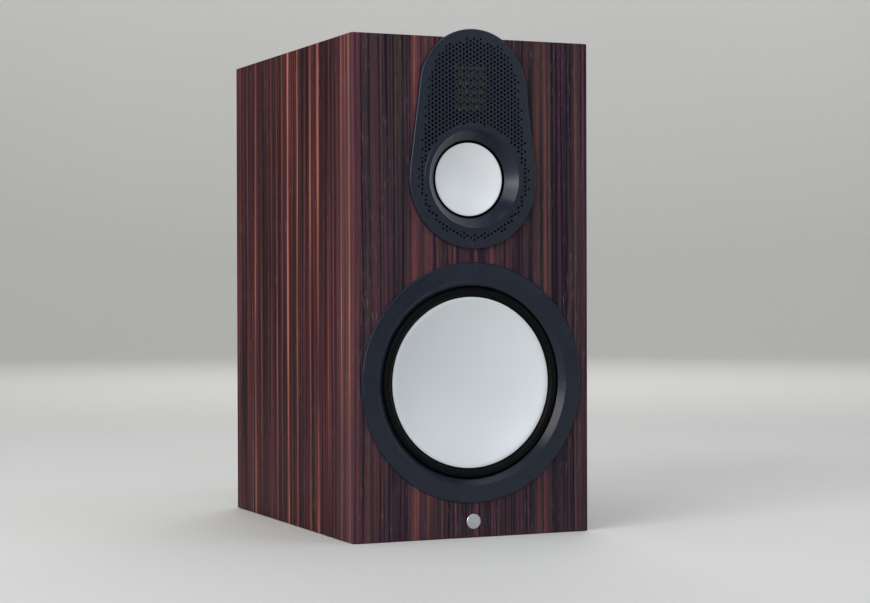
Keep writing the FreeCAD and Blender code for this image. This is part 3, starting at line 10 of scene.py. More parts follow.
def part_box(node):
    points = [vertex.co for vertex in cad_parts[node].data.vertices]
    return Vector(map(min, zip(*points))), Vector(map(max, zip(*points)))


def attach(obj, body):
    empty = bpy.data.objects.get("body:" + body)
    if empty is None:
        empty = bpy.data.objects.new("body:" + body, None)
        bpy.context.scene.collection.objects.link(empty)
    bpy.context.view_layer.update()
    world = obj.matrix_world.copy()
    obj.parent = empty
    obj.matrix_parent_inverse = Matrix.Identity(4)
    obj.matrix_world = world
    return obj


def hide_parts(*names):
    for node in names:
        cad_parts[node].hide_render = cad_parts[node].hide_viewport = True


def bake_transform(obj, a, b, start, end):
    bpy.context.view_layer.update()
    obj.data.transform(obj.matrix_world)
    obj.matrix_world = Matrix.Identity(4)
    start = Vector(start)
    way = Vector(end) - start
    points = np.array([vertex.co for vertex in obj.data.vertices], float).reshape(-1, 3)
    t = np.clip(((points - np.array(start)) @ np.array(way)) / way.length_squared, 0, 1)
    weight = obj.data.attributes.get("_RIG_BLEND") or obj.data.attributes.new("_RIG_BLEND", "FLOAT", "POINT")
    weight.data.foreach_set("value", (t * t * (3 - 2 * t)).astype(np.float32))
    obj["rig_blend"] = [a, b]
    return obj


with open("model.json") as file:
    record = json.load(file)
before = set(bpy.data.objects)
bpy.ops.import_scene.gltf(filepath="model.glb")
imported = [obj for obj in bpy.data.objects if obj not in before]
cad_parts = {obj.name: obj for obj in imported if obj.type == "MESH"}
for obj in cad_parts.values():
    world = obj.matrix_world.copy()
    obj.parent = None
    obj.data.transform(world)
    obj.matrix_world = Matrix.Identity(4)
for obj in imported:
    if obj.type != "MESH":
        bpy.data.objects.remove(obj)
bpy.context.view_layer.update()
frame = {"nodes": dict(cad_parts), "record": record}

MM = 0.001                                         # metres
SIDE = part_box("right_side_panel")[1].x             # half the cabinet's width
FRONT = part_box("front_baffle")[0].y                # plane of the baffle
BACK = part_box("rear_panel")[1].y                   # outer face of the rear panel
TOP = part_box("top_panel")[1].z


def middle(node):
    """Centre of a CAD node's box."""
    low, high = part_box(node)
    return (low + high) / 2


# ---------------------------------------------------------------- camera, stage and lights

CAMERA_PLACE = Vector((-0.8374, -1.9890, 0.2506))
CAMERA_YAW, CAMERA_PITCH, CAMERA_ROLL = (math.radians(a) for a in (-23.745, -0.408, -0.162))
LENS = 82.35                                       # mm
SENSOR = 36                                        # mm across

AIM = (0, 0, 0.25)                                 # the cabinet's middle
WALL_AIM = (2.9, 6.2, 1.2)                         # a place on the wall behind it
# name, place, target, width and height in metres, power in watts, colour
LIGHTS = (
    ("key", (-3.4, -2.0, 1.9), AIM, (2.6, 2.8), 100, (1.0, 0.985, 0.965)),
    ("window", (-3.2, -1.0, 0.72), AIM, (1.2, 1.1), 20, (0.90, 0.95, 1.0)),
    ("front", (-0.6, -3.7, 2.9), AIM, (2.4, 1.6), 30, (0.88, 0.94, 1.0)),
    ("fill", (3.7, -3.2, 1.7), AIM, (4.2, 2.4), 36, (0.84, 0.92, 1.0)),
    ("overhead", (0, -0.2, 3.4), AIM, (3.2, 2.6), 34, (0.92, 0.96, 1.0)),
    ("rear", (1.6, 3.2, 3.2), AIM, (2.6, 2.2), 58, (1, 1, 1)),
    ("wall", (1.3, 2.4, 3.0), WALL_AIM, (4.5, 2.0), 66, (1, 1, 1)),
)
WORLD_TONES = ((0.0, (0.30, 0.30, 0.31, 1)), (0.8, (0.80, 0.80, 0.80, 1)))   # from below to above
WORLD_STRENGTH = 0.28

FLOOR_RINGS = (0.6, 1.6, 3.2, 5.0)                 # radii of the flat floor's rings, metres
BEND = 1.6                                         # radius of the sweep from the floor to the wall
BEND_TURNS = np.linspace(0.15, math.pi / 2, 10)    # how far round the sweep its rings are, radians
WALL_RINGS = (3.2, 6.0)                            # heights of the wall's rings
STAGE_SIDES = 96
STAGE_DROP = 0.0004                                # keeps the floor clear of the underside


def make_camera():
    """The camera that was fitted to the photograph."""
    ahead = Vector((-math.sin(CAMERA_YAW), math.cos(CAMERA_YAW), 0))
    right, up = Vector((ahead.y, -ahead.x, 0)), Vector((0, 0, 1))
    forward = ahead * math.cos(CAMERA_PITCH) + up * math.sin(CAMERA_PITCH)
    above = up * math.cos(CAMERA_PITCH) - ahead * math.sin(CAMERA_PITCH)
    across = right * math.cos(CAMERA_ROLL) + above * math.sin(CAMERA_ROLL)
    above = above * math.cos(CAMERA_ROLL) - right * math.sin(CAMERA_ROLL)
    data = bpy.data.cameras.new("camera")
    data.lens, data.sensor_width = LENS, SENSOR
    camera = bpy.data.objects.new("camera", data)
    bpy.context.scene.collection.objects.link(camera)
    turn = Matrix((across, above, -forward)).transposed()
    camera.matrix_world = Matrix.Translation(CAMERA_PLACE) @ turn.to_4x4()
    bpy.context.scene.camera = camera


def area_light(name, place, target, size, power, colour):
    """A soft rectangular light turned towards its target."""
    data = bpy.data.lights.new(name, "AREA")
    data.shape, data.size, data.size_y = "RECTANGLE", size[0], size[1]
    data.energy, data.color = power, colour
    light = bpy.data.objects.new(name, data)
    bpy.context.scene.collection.objects.link(light)
    turn = (Vector(target) - Vector(place)).to_track_quat("-Z", "Y")
    light.matrix_world = Matrix.Translation(place) @ turn.to_matrix().to_4x4()


def make_world():
    """Faint light from all round, stronger from above."""
    world = bpy.data.worlds.new("studio")
    world.use_nodes = True
    tree = world.node_tree
    background = tree.nodes["Background"]
    sky = tree.nodes.new("ShaderNodeTexCoord")
    parts = tree.nodes.new("ShaderNodeSeparateXYZ")
    tree.links.new(sky.outputs["Generated"], parts.inputs[0])
    ramp = tree.nodes.new("ShaderNodeValToRGB")
    for stop, (position, tone) in zip(ramp.color_ramp.elements, WORLD_TONES):
        stop.position, stop.color = position, tone
    tree.links.new(parts.outputs["Z"], ramp.inputs[0])
    tree.links.new(ramp.outputs[0], background.inputs["Color"])
    background.inputs["Strength"].default_value = WORLD_STRENGTH
    bpy.context.scene.world = world


def new_object(name, mesh):
    """A smooth-shaded object in the scene."""
    made = bpy.data.objects.new(name, mesh)
    bpy.context.scene.collection.objects.link(made)
    for face in mesh.polygons:
        face.use_smooth = True
    return made


def surface(piece):
    """The places of a piece's vertices."""
    return np.array([v.co for v in piece.data.vertices])


def make_stage(material):
    """A pale floor that sweeps up into a wall all round, well away from the object."""
    reach = FLOOR_RINGS[-1]
    rings = [(radius, 0.0) for radius in FLOOR_RINGS]
    rings += [(reach + BEND * math.sin(a), BEND * (1 - math.cos(a))) for a in BEND_TURNS]
    rings += [(reach + BEND, height) for height in WALL_RINGS]
    turns = [2 * math.pi * k / STAGE_SIDES for k in range(STAGE_SIDES)]
    verts = [(0, 0, -STAGE_DROP)]
    for radius, height in rings:
        verts += [(radius * math.cos(a), radius * math.sin(a), height - STAGE_DROP) for a in turns]
    pairs = [(k, (k + 1) % STAGE_SIDES) for k in range(STAGE_SIDES)]
    faces = [(0, 1 + k, 1 + after) for k, after in pairs]
    for ring in range(len(rings) - 1):
        low = 1 + ring * STAGE_SIDES
        high = low + STAGE_SIDES
        faces += [(low + k, high + k, high + after, low + after) for k, after in pairs]
    mesh = bpy.data.meshes.new("floor")
    mesh.from_pydata(verts, [], faces)
    floor = new_object("floor", mesh)
    mesh.materials.append(material)


# ---------------------------------------------------------------- materials

FIXED_SOCKETS = {"metallic": "Metallic", "specular": "Specular IOR Level", "coat": "Coat Weight",
                 "sheen": "Sheen Weight", "sheen_rough": "Sheen Roughness"}


class Shade:
    """One material's node tree. A value is a number, a colour or another node's output."""

    def __init__(self, name):
        self.material = bpy.data.materials.new(name)
        self.material.use_nodes = True
        self.tree = self.material.node_tree
        self.shader = self.tree.nodes["Principled BSDF"]
        self.place = self.add("ShaderNodeTexCoord").outputs["Object"]
        self.x, self.y, self.z = self.split(self.place)

    def add(self, kind, inputs=(), **settings):
        """A new node. The inputs are a dictionary, or pairs, of a socket's key and its value."""
        node = self.tree.nodes.new(kind)
        for key, setting in settings.items():
            setattr(node, key, setting)
        for key, given in dict(inputs).items():
            self.feed(node.inputs[key], given)
        return node

    def feed(self, socket, given):
        """Links another node's output to the socket, or sets the socket's number or colour."""
        if isinstance(given, bpy.types.NodeSocket):
            self.tree.links.new(given, socket)
        elif isinstance(given, tuple) and len(given) == 3 and socket.type == "RGBA":
            socket.default_value = (*given, 1)
        else:
            socket.default_value = given

    def math(self, operation, *values, clamp=False):
        node = self.add("ShaderNodeMath", enumerate(values), operation=operation, use_clamp=clamp)
        return node.outputs[0]

    def split(self, vector):
        return self.add("ShaderNodeSeparateXYZ", {0: vector}).outputs[:]

    def join(self, x, y, z):
        return self.add("ShaderNodeCombineXYZ", {0: x, 1: y, 2: z}).outputs[0]

    def stretch(self, scale):
        """Coordinates in units of 1/scale metres, one scale for each axis."""
        node = self.add("ShaderNodeVectorMath", {0: self.place, 1: scale}, operation="MULTIPLY")
        return node.outputs[0]

    def noise(self, vector, scale=1.0, detail=2.0, rough=0.5, warp=0.0):
        return self.add("ShaderNodeTexNoise", {
            "Vector": vector, "Scale": scale, "Detail": detail, "Roughness": rough,
            "Distortion": warp}).outputs["Fac"]

    def spread(self, given, low, high, out_low=0.0, out_high=1.0):
        """Low to high spread over out_low to out_high, and held at the ends."""
        return self.add("ShaderNodeMapRange", {
            0: given, 1: low, 2: high, 3: out_low, 4: out_high}).outputs[0]

    def mix(self, share, first, second):
        node = self.add("ShaderNodeMix", data_type="RGBA")
        colours = [s for s in node.inputs if s.type == "RGBA"]
        self.feed(node.inputs[0], share)
        self.feed(colours[0], first)
        self.feed(colours[1], second)
        return next(s for s in node.outputs if s.type == "RGBA")

    def times(self, first, second):
        """The product of two colours."""
        node = self.add("ShaderNodeVectorMath", {0: first, 1: second}, operation="MULTIPLY")
        return node.outputs[0]

    def ramp(self, given, stops):
        """Stops are pairs of a position and a grey or a colour."""
        node = self.add("ShaderNodeValToRGB", {0: given})
        elements = node.color_ramp.elements
        while len(elements) < len(stops):
            elements.new(0.5)
        for element, (position, tone) in zip(elements, stops):
            element.position = position
            element.color = (*tone, 1) if isinstance(tone, tuple) else (tone, tone, tone, 1)
        return node.outputs[0]

    def bump(self, height, strength, distance):
        inputs = {"Height": height, "Strength": strength, "Distance": distance}
        return self.add("ShaderNodeBump", inputs).outputs[0]

    def finish(self, colour, rough, normal=None, **fixed):
        """Feeds the shader. The fixed settings are the same all over the piece."""
        self.feed(self.shader.inputs["Base Color"], colour)
        self.feed(self.shader.inputs["Roughness"], rough)
        if normal is not None:
            self.feed(self.shader.inputs["Normal"], normal)
        for key, number in fixed.items():
            self.shader.inputs[FIXED_SOCKETS[key]].default_value = number
        return self.material


# Main stripes of the veneer as (distance from the edge in mm, half width in mm, strength).
# The front is counted from its left edge and each side from the front.
FRONT_STRIPES = (
    (6, 4, 0.42), (16, 5, 0.36), (67, 6, 0.66), (80, 3, 0.42), (86, 2, 0.3), (110, 2.5, 0.36),
    (133, 4, 0.5), (160, 3, 0.26), (203, 5, 0.40), (211, 4, 0.44), (246, 3, 0.34))
SIDE_STRIPES = (
    (8, 4, 0.72), (28, 3, 0.7), (95, 6, 1.0), (118, 2.5, 0.72), (156, 3.5, 0.72), (185, 5, 0.95),
    (222, 3, 0.6), (240, 5, 0.45), (293, 6, 0.7), (311, 3, 0.5), (345, 4, 0.25))
BETWEEN_STRIPES = 0.10                             # strength of the ground
RAMP_STOPS = 32                                    # the most that one colour ramp holds

# Colours of the veneer by strength, before the tints. The front's tints are paler and bluer, as painted
# sheen of the lacquer, and the sides' are redder; each pair of tints gives the front's and then the sides'.
VENEER_TONES = (
    (0.0, (0.0080, 0.0055, 0.0078)), (0.12, (0.0190, 0.0115, 0.0155)),
    (0.28, (0.047, 0.0180, 0.0205)), (0.50, (0.112, 0.0290, 0.0245)),
    (0.76, (0.235, 0.0640, 0.0340)), (1.0, (0.42, 0.160, 0.085)))
DARK_TINTS_WITH_SHEEN = (1.85, 2.10, 2.25), (1.12, 0.58, 0.54)
PALE_TINTS_WITH_SHEEN = (1.05, 1.55, 1.85), (0.98, 1.02, 1.34)
HUE_DRIFT = (1.05, 0.88, 1.06), (0.95, 1.13, 0.90) # every leaf drifts between these two
EDGE_SHEEN_TONE = (0.17, 0.105, 0.110)                  # painted sheen: a paler pink highlight band along each side by its front edge
FLECK_TONE = (0.26, 0.19, 0.18)
PORE_TONE = (0.008, 0.005, 0.006)
BOARD_TONES = (0.24, 0.165, 0.095), (0.36, 0.26, 0.16)
VENEER_DEPTH = 0.0011                              # the board is bare below this
WANDER = 0.006                                     # how far the stripes stray, metres


def stripe_stops(stripes, length):
    """Colour ramp stops for tapering stripes on a dark ground, along a face of length mm."""
    stops = []
    for centre, half, strength in stripes:
        low, high = centre - half, centre + half
        if not stops or low > stops[-1][0] + 1:
            stops.append((max(low, 0), BETWEEN_STRIPES))
        stops += [(centre, strength), (min(high, length), BETWEEN_STRIPES)]
    return [(position / length, tone) for position, tone in stops][:RAMP_STOPS]


def unrolled(s):
    """Places on the veneer: round the cabinet from the front's middle, and up and over the top."""
    normal = s.split(s.add("ShaderNodeTexCoord").outputs["Normal"])
    flat = s.math("GREATER_THAN", s.math("ABSOLUTE", normal[2]), 0.7)
    behind = s.math("MULTIPLY", s.math("SIGN", s.x), s.math("SUBTRACT", s.y, FRONT))
    wrapped = s.math("MULTIPLY", behind, s.math("SUBTRACT", 1.0, flat))
    around = s.math("ADD", s.x, wrapped)
    along = s.math("ADD", s.z, s.math("MULTIPLY", s.y, flat))
    # the stripes wander and their widths breathe along the tree
    stray = s.noise(s.join(s.math("MULTIPLY", around, 9.0), 0.0, s.math("MULTIPLY", along, 2.6)))
    stray = s.math("MULTIPLY", s.math("SUBTRACT", stray, 0.5), WANDER)
    return s.math("ADD", around, stray), along


def veneered(s):
    """1 on the cabinet's outer faces and 0 on the bare board inside."""
    tests = (
        ("GREATER_THAN", s.math("ABSOLUTE", s.x), SIDE - VENEER_DEPTH),
        ("GREATER_THAN", s.z, TOP - VENEER_DEPTH), ("LESS_THAN", s.z, VENEER_DEPTH),
        ("LESS_THAN", s.y, FRONT + VENEER_DEPTH), ("GREATER_THAN", s.y, BACK - VENEER_DEPTH))
    outside = 0.0
    for test in tests:
        outside = s.math("MAXIMUM", outside, s.math(*test))
    return outside


def veneer(name):
    """Dark striped veneer under satin lacquer. The stripes run up the faces and across the top."""
    s = Shade(name)
    around, along = unrolled(s)

    def streaks(fine, slow, detail=2.0, shift=0.0):
        """Noise drawn out along the grain, in cells of 1/fine by 1/slow metres."""
        place = s.join(s.math("MULTIPLY", around, fine), shift, s.math("MULTIPLY", along, slow))
        return s.noise(place, 1.0, detail, 0.6)

    # the main stripes, as they lie in the photograph
    depth = BACK - FRONT
    beside = s.math("SUBTRACT", s.math("ABSOLUTE", around), SIDE)
    on_side = s.math("GREATER_THAN", beside, 0.0)
    front = s.ramp(s.spread(around, -SIDE, SIDE), stripe_stops(FRONT_STRIPES, 2 * SIDE / MM))
    side = s.ramp(s.math("DIVIDE", beside, depth, clamp=True),
                  stripe_stops(SIDE_STRIPES, depth / MM))
    main = s.split(s.mix(on_side, front, side))[0]
    fade = s.spread(streaks(24, 3.4, 2.0, 2.0), 0.34, 0.62, 0.55, 1.12)
    strength = s.math("MULTIPLY", main, fade)

    # finer streaks over them, the medium ones bolder on the sides
    hair = streaks(1700, 9.0, 2.0, 9.0)
    fine = s.math("ADD", s.spread(streaks(70, 1.2), 0.42, 0.74, 0.0, 0.20),
                  s.spread(streaks(420, 1.6, 3.0, 4.0), 0.36, 0.68, -0.17, 0.26))
    fine = s.math("ADD", fine, s.spread(hair, 0.3, 0.7, -0.13, 0.13))
    medium = s.spread(streaks(190, 1.4, 2.0, 61.0), 0.36, 0.68, -0.18, 0.40)
    medium = s.math("MULTIPLY", medium, s.spread(on_side, 0.0, 1.0, 0.25, 1.0))
    fine = s.math("SUBTRACT", s.math("ADD", fine, medium), 0.03)
    strength = s.math("ADD", strength, fine, clamp=True)

    # the front's tints paint in sheen, the sides' are redder, and every leaf drifts in hue
    colour = s.ramp(strength, VENEER_TONES)
    dark_tint, pale_tint = s.mix(on_side, *DARK_TINTS_WITH_SHEEN), s.mix(on_side, *PALE_TINTS_WITH_SHEEN)
    tint_with_sheen = s.mix(s.spread(strength, 0.05, 0.5), dark_tint, pale_tint)
    colour = s.times(colour, tint_with_sheen)
    drift = s.spread(streaks(95, 0.8, 2.0, 50.0), 0.36, 0.64)
    colour = s.times(colour, s.mix(drift, *HUE_DRIFT))
    # painted sheen: each side is paler near its front edge, a highlight painted into the veneer's colour
    painted_edge_sheen = s.math("MULTIPLY", on_side, s.spread(beside, 0.004, 0.060, 0.22, 0.0))
    colour = s.mix(painted_edge_sheen, colour, EDGE_SHEEN_TONE)

    # short pale flecks and dark pores along the grain
    fleck = s.math("MULTIPLY", s.spread(streaks(900, 52, 1.0, 17.0), 0.59, 0.74), 0.42)
    fleck = s.math("MULTIPLY", fleck, s.spread(streaks(40, 8, 1.0, 31.0), 0.38, 0.66))
    colour = s.mix(fleck, colour, FLECK_TONE)
    pore = s.spread(streaks(1900, 48, 2.0, 23.0), 0.60, 0.74)
    colour = s.mix(s.math("MULTIPLY", pore, 0.55), colour, PORE_TONE)

    outside = veneered(s)
    board = s.mix(s.noise(s.place, 900, 3.0, 0.6), *BOARD_TONES)
    colour = s.mix(outside, board, colour)
    lacquer = s.spread(streaks(300, 5, 3.0, 40.0), 0.3, 0.7, 0.36, 0.44)
    inside = s.math("SUBTRACT", 1.0, outside)
    rough = s.math("ADD", s.math("MULTIPLY", lacquer, outside), s.math("MULTIPLY", inside, 0.8))
    relief = s.math("SUBTRACT", s.math("MULTIPLY", hair, 0.4), s.math("MULTIPLY", pore, 0.7))
    return s.finish(colour, rough, s.bump(relief, 0.10, 0.0002), specular=0.02)


def grained(name, dark, light, rough, scale, relief, depth=0.0002, **fixed):
    """Painted, moulded or cast surface: a fine orange-peel grain over slow changes of tone."""
    s = Shade(name)
    slow = s.noise(s.place, 18.0, 3.0, 0.55)
    fine = s.noise(s.place, scale, 2.0, 0.5)
    scuff = s.spread(s.noise(s.stretch((160, 160, 30)), 1.0, 3.0, 0.6), 0.60, 0.78)
    scuffed = tuple(min(1.0, tone * 1.7) for tone in light)
    colour = s.mix(s.spread(slow, 0.3, 0.7), dark, light)
    colour = s.mix(s.math("MULTIPLY", scuff, 0.10), colour, scuffed)
    roughness = s.math("ADD", s.spread(slow, 0.3, 0.7, rough - 0.04, rough + 0.05),
                       s.spread(fine, 0.3, 0.7, -0.03, 0.03))
    return s.finish(colour, roughness, s.bump(fine, relief, depth), **fixed)


def brushed(name, dark, light, rough, metallic=1.0):
    """Metal with fine marks along Y."""
    s = Shade(name)
    marks = s.noise(s.stretch((2500, 60, 2500)), 1.0, 3.0, 0.6)
    slow = s.noise(s.place, 30, 2.0, 0.5)
    share = s.math("ADD", s.math("MULTIPLY", marks, 0.6), s.math("MULTIPLY", slow, 0.4))
    roughness = s.spread(marks, 0.25, 0.75, rough - 0.05, rough + 0.07)
    return s.finish(s.mix(share, dark, light), roughness, s.bump(marks, 0.08, 0.0001),
                    metallic=metallic)


def turned_metal(name, dark, light, rough, node):
    """Metal with fine rings round a node's middle, along Y."""
    s = Shade(name)
    aside = s.math("SUBTRACT", s.x, middle(node).x)
    above = s.math("SUBTRACT", s.z, middle(node).z)
    squares = s.math("ADD", s.math("MULTIPLY", aside, aside), s.math("MULTIPLY", above, above))
    radius = s.math("SQRT", squares)
    place = s.join(s.math("MULTIPLY", radius, 3800.0), s.math("MULTIPLY", s.y, 300.0), 0.0)
    rings = s.noise(place, 1.0, 2.0)
    slow = s.noise(s.place, 26, 2.0, 0.5)
    share = s.math("ADD", s.math("MULTIPLY", rings, 0.35), s.math("MULTIPLY", slow, 0.65))
    roughness = s.spread(slow, 0.3, 0.7, rough - 0.03, rough + 0.04)
    return s.finish(s.mix(share, dark, light), roughness, s.bump(rings, 0.06, 0.0001), metallic=1.0)


def wound(name, dark, light, pitch):
    """Enamelled wire in turns one above the other; pitch is the wire's width in metres."""
    s = Shade(name)
    turn = s.math("SINE", s.math("MULTIPLY", s.z, 2 * math.pi / pitch))
    wire = s.spread(turn, -1.0, 1.0)
    tone = s.noise(s.place, 160, 2.0, 0.5)
    share = s.math("MULTIPLY", wire, s.spread(tone, 0.3, 0.7, 0.6, 1.0))
    return s.finish(s.mix(share, dark, light), s.spread(tone, 0.3, 0.7, 0.24, 0.38),
                    s.bump(wire, 0.5, pitch / 3), metallic=0.85)


def cloth(name, dark, light, pitch, **fixed):
    """Woven threads in two directions, seen along Y; pitch is two threads' width in metres."""
    s = Shade(name)
    warp, weft = (s.math("SINE", s.math("MULTIPLY", place, 2 * math.pi / pitch))
                  for place in (s.x, s.z))
    weave = s.spread(s.math("MULTIPLY", warp, weft), -1.0, 1.0)
    tone = s.noise(s.place, 220, 3.0, 0.6)
    share = s.math("MULTIPLY", s.math("ADD", weave, tone), 0.5)
    return s.finish(s.mix(share, dark, light), s.spread(tone, 0.3, 0.7, 0.72, 0.9),
                    s.bump(weave, 0.5, pitch / 4), **fixed)


def fibres(name):
    """Loose polyester fibre: tangled hairs in all directions."""
    s = Shade(name)
    hairs = [s.noise(s.stretch(scale), 1.0, 4.0, 0.7, 1.2)
             for scale in ((1600, 260, 260), (260, 1600, 260), (260, 260, 1600))]
    tangle = s.math("MAXIMUM", s.math("MAXIMUM", hairs[0], hairs[1]), hairs[2])
    clump = s.noise(s.place, 60, 4.0, 0.6)
    share = s.math("ADD", s.spread(tangle, 0.4, 0.8, 0.0, 0.6), s.spread(clump, 0.3, 0.7, 0.0, 0.4))
    colour = s.mix(share, (0.42, 0.40, 0.36), (0.80, 0.78, 0.73))
    return s.finish(colour, 0.92, s.bump(s.math("ADD", tangle, clump), 0.7, 0.0015),
                    sheen=0.35, sheen_rough=0.6)


def circuit_board(name):
    """Green solder mask over tracks, with the glass cloth just showing."""
    s = Shade(name)
    tracks = s.add("ShaderNodeTexBrick", {
        "Vector": s.place, "Scale": 28.0, "Mortar Size": 0.10, "Mortar Smooth": 0.1,
        "Brick Width": 0.8, "Row Height": 0.45}).outputs["Fac"]
    warp, weft = (s.math("SINE", s.math("MULTIPLY", place, 9000.0)) for place in (s.x, s.y))
    weave = s.math("MULTIPLY", warp, weft)
    colour = s.mix(tracks, (0.010, 0.055, 0.026), (0.022, 0.110, 0.048))
    colour = s.mix(s.spread(weave, -1, 1, 0.0, 0.12), colour, (0.05, 0.16, 0.08))
    return s.finish(colour, s.spread(s.noise(s.place, 120, 2.0), 0.3, 0.7, 0.28, 0.42),
                    s.bump(tracks, 0.4, 0.0002), coat=0.2)


def dish(name, pale):
    """Pale satin metal skin of a cone, with a fine ceramic bloom."""
    s = Shade(name)
    bloom = s.noise(s.place, 2600, 3.0, 0.6)
    slow = s.noise(s.place, 9, 2.0, 0.5)
    share = s.math("ADD", s.math("MULTIPLY", slow, 0.5), s.math("MULTIPLY", bloom, 0.5))
    colour = s.mix(share, tuple(tone * 0.92 for tone in pale), pale)
    return s.finish(colour, s.spread(bloom, 0.3, 0.7, 0.42, 0.50), s.bump(bloom, 0.035, 0.0001),
                    metallic=0.22)


def foil(name):
    """Gold-coloured foil, faintly creased."""
    s = Shade(name)
    crease = s.noise(s.stretch((900, 900, 200)), 1.0, 3.0, 0.6)
    colour = s.mix(s.spread(crease, 0.3, 0.7), (0.86, 0.72, 0.26), (1.0, 0.92, 0.46))
    return s.finish(colour, s.spread(crease, 0.3, 0.7, 0.42, 0.56), s.bump(crease, 0.3, 0.0002),
                    metallic=0.1)


def backdrop(name):
    """Pale matt paper, with painted shade: it is darker where the floor lies furthest off, before it turns
    up.
    """
    s = Shade(name)
    squares = s.math("ADD", s.math("MULTIPLY", s.x, s.x), s.math("MULTIPLY", s.y, s.y))
    away = s.spread(s.math("SQRT", squares), 0.6, 4.0)
    # painted shade: the floor far off is darkened to tone down the lamps' glow there
    far_painted_shade = s.math("MULTIPLY", away, s.spread(s.z, 0.0, BEND, 1.0, 0.0))
    mottle = s.noise(s.place, 1.2, 3.0, 0.55)
    near_tone = s.mix(mottle, (0.66, 0.655, 0.64), (0.70, 0.695, 0.68))
    colour = s.mix(far_painted_shade, near_tone, (0.54, 0.535, 0.525))
    return s.finish(colour, s.spread(mottle, 0.3, 0.7, 0.78, 0.86), specular=0.08)


# Painted, moulded and cast surfaces. scale is the grain's fineness per metre.
GRAINED = {
    "rear_finish": dict(dark=(0.010, 0.010, 0.011), light=(0.017, 0.017, 0.018),
                        rough=0.62, scale=1500, relief=0.35),
    "rear_trim": dict(dark=(0.0058, 0.0058, 0.0066), light=(0.0084, 0.0084, 0.0094),
                      rough=0.34, scale=2600, relief=0.06, specular=0.34),
    "raw_board": dict(dark=BOARD_TONES[0], light=BOARD_TONES[1],
                      rough=0.85, scale=1100, relief=0.3, specular=0.3),
    # painted light: the blue in these two blacks stands in for the bluish light round the object
    "trim_black": dict(dark=(0.0062, 0.0094, 0.0205), light=(0.0080, 0.0118, 0.0250),
                       rough=0.27, scale=2600, relief=0.04, specular=0.34),
    "plate_black": dict(dark=(0.0072, 0.0108, 0.0220), light=(0.0092, 0.0134, 0.0265),
                        rough=0.30, scale=3000, relief=0.05, specular=0.34),
    "inner_black": dict(dark=(0.0020, 0.0021, 0.0024), light=(0.0034, 0.0035, 0.0038),
                        rough=0.62, scale=1600, relief=0.2, specular=0.2),
    "rubber": dict(dark=(0.0007, 0.0008, 0.0013), light=(0.0013, 0.0014, 0.0020),
                   rough=0.50, scale=1800, relief=0.12, specular=0.10),
    "foam": dict(dark=(0.010, 0.010, 0.011), light=(0.020, 0.020, 0.021),
                 rough=0.92, scale=1300, relief=0.8, depth=0.0005),
    "basket": dict(dark=(0.020, 0.020, 0.022), light=(0.034, 0.034, 0.036),
                   rough=0.48, scale=1200, relief=0.35, metallic=0.5),
    "ferrite": dict(dark=(0.020, 0.020, 0.022), light=(0.038, 0.037, 0.038),
                    rough=0.68, scale=2000, relief=0.5, depth=0.0004),
    "tweeter_steel": dict(dark=(0.010, 0.010, 0.010), light=(0.018, 0.017, 0.016),
                          rough=0.45, scale=2200, relief=0.2, metallic=0.3),
    "knob_positive": dict(dark=(0.26, 0.010, 0.010), light=(0.34, 0.016, 0.014),
                          rough=0.20, scale=1800, relief=0.06, coat=0.5),
    "knob_negative": dict(dark=(0.010, 0.010, 0.011), light=(0.016, 0.016, 0.017),
                          rough=0.22, scale=1800, relief=0.06, coat=0.5),
    "capacitor": dict(dark=(0.28, 0.035, 0.020), light=(0.38, 0.055, 0.030),
                      rough=0.28, scale=700, relief=0.12, coat=0.3),
    "resistor": dict(dark=(0.56, 0.55, 0.50), light=(0.72, 0.71, 0.66),
                     rough=0.78, scale=1400, relief=0.4, depth=0.0003),
    "lead": dict(dark=(0.26, 0.018, 0.014), light=(0.36, 0.030, 0.022),
                 rough=0.42, scale=1500, relief=0.1),
}
BRUSHED = {
    "steel": dict(dark=(0.42, 0.43, 0.44), light=(0.62, 0.63, 0.65), rough=0.32),
    "former": dict(dark=(0.55, 0.55, 0.53), light=(0.75, 0.75, 0.72), rough=0.35),
    "screw_black": dict(dark=(0.020, 0.020, 0.021), light=(0.045, 0.045, 0.047), rough=0.38,
                        metallic=0.8),
    "insert": dict(dark=(0.52, 0.36, 0.14), light=(0.78, 0.58, 0.28), rough=0.30),
    "gold_plate": dict(dark=(0.62, 0.42, 0.14), light=(0.90, 0.68, 0.30), rough=0.22),
}
REAR_TRIM_NODES = ("port_tube", "terminal_plate")  # black without the front trim's blue, which is painted bluish room light


def make_materials():
    """One material for each of the record's slots, and two more: the rear trim and the mid cone."""
    made = {name: grained(name, **given) for name, given in GRAINED.items()}
    made.update({name: brushed(name, **given) for name, given in BRUSHED.items()})
    made["veneer"] = veneer("veneer")
    made["cone"] = dish("cone", (0.715, 0.745, 0.775))
    made["mid_cone"] = dish("mid_cone", (0.86, 0.885, 0.915))
    made["badge"] = turned_metal("badge", (0.50, 0.515, 0.54), (0.66, 0.675, 0.70), rough=0.30,
                                 node="badge")
    made["copper"] = wound("copper", (0.20, 0.07, 0.030), (0.80, 0.36, 0.17), pitch=0.0007)
    made["spider_cloth"] = cloth("spider_cloth", (0.26, 0.16, 0.06), (0.52, 0.36, 0.16),
                                 pitch=0.0011)
    made["braid"] = cloth("braid", (0.32, 0.18, 0.09), (0.80, 0.56, 0.34), pitch=0.0004,
                          metallic=0.7)
    made["gold_foil"] = foil("gold_foil")
    made["board_green"] = circuit_board("board_green")
    made["wadding"] = fibres("wadding")
    return made


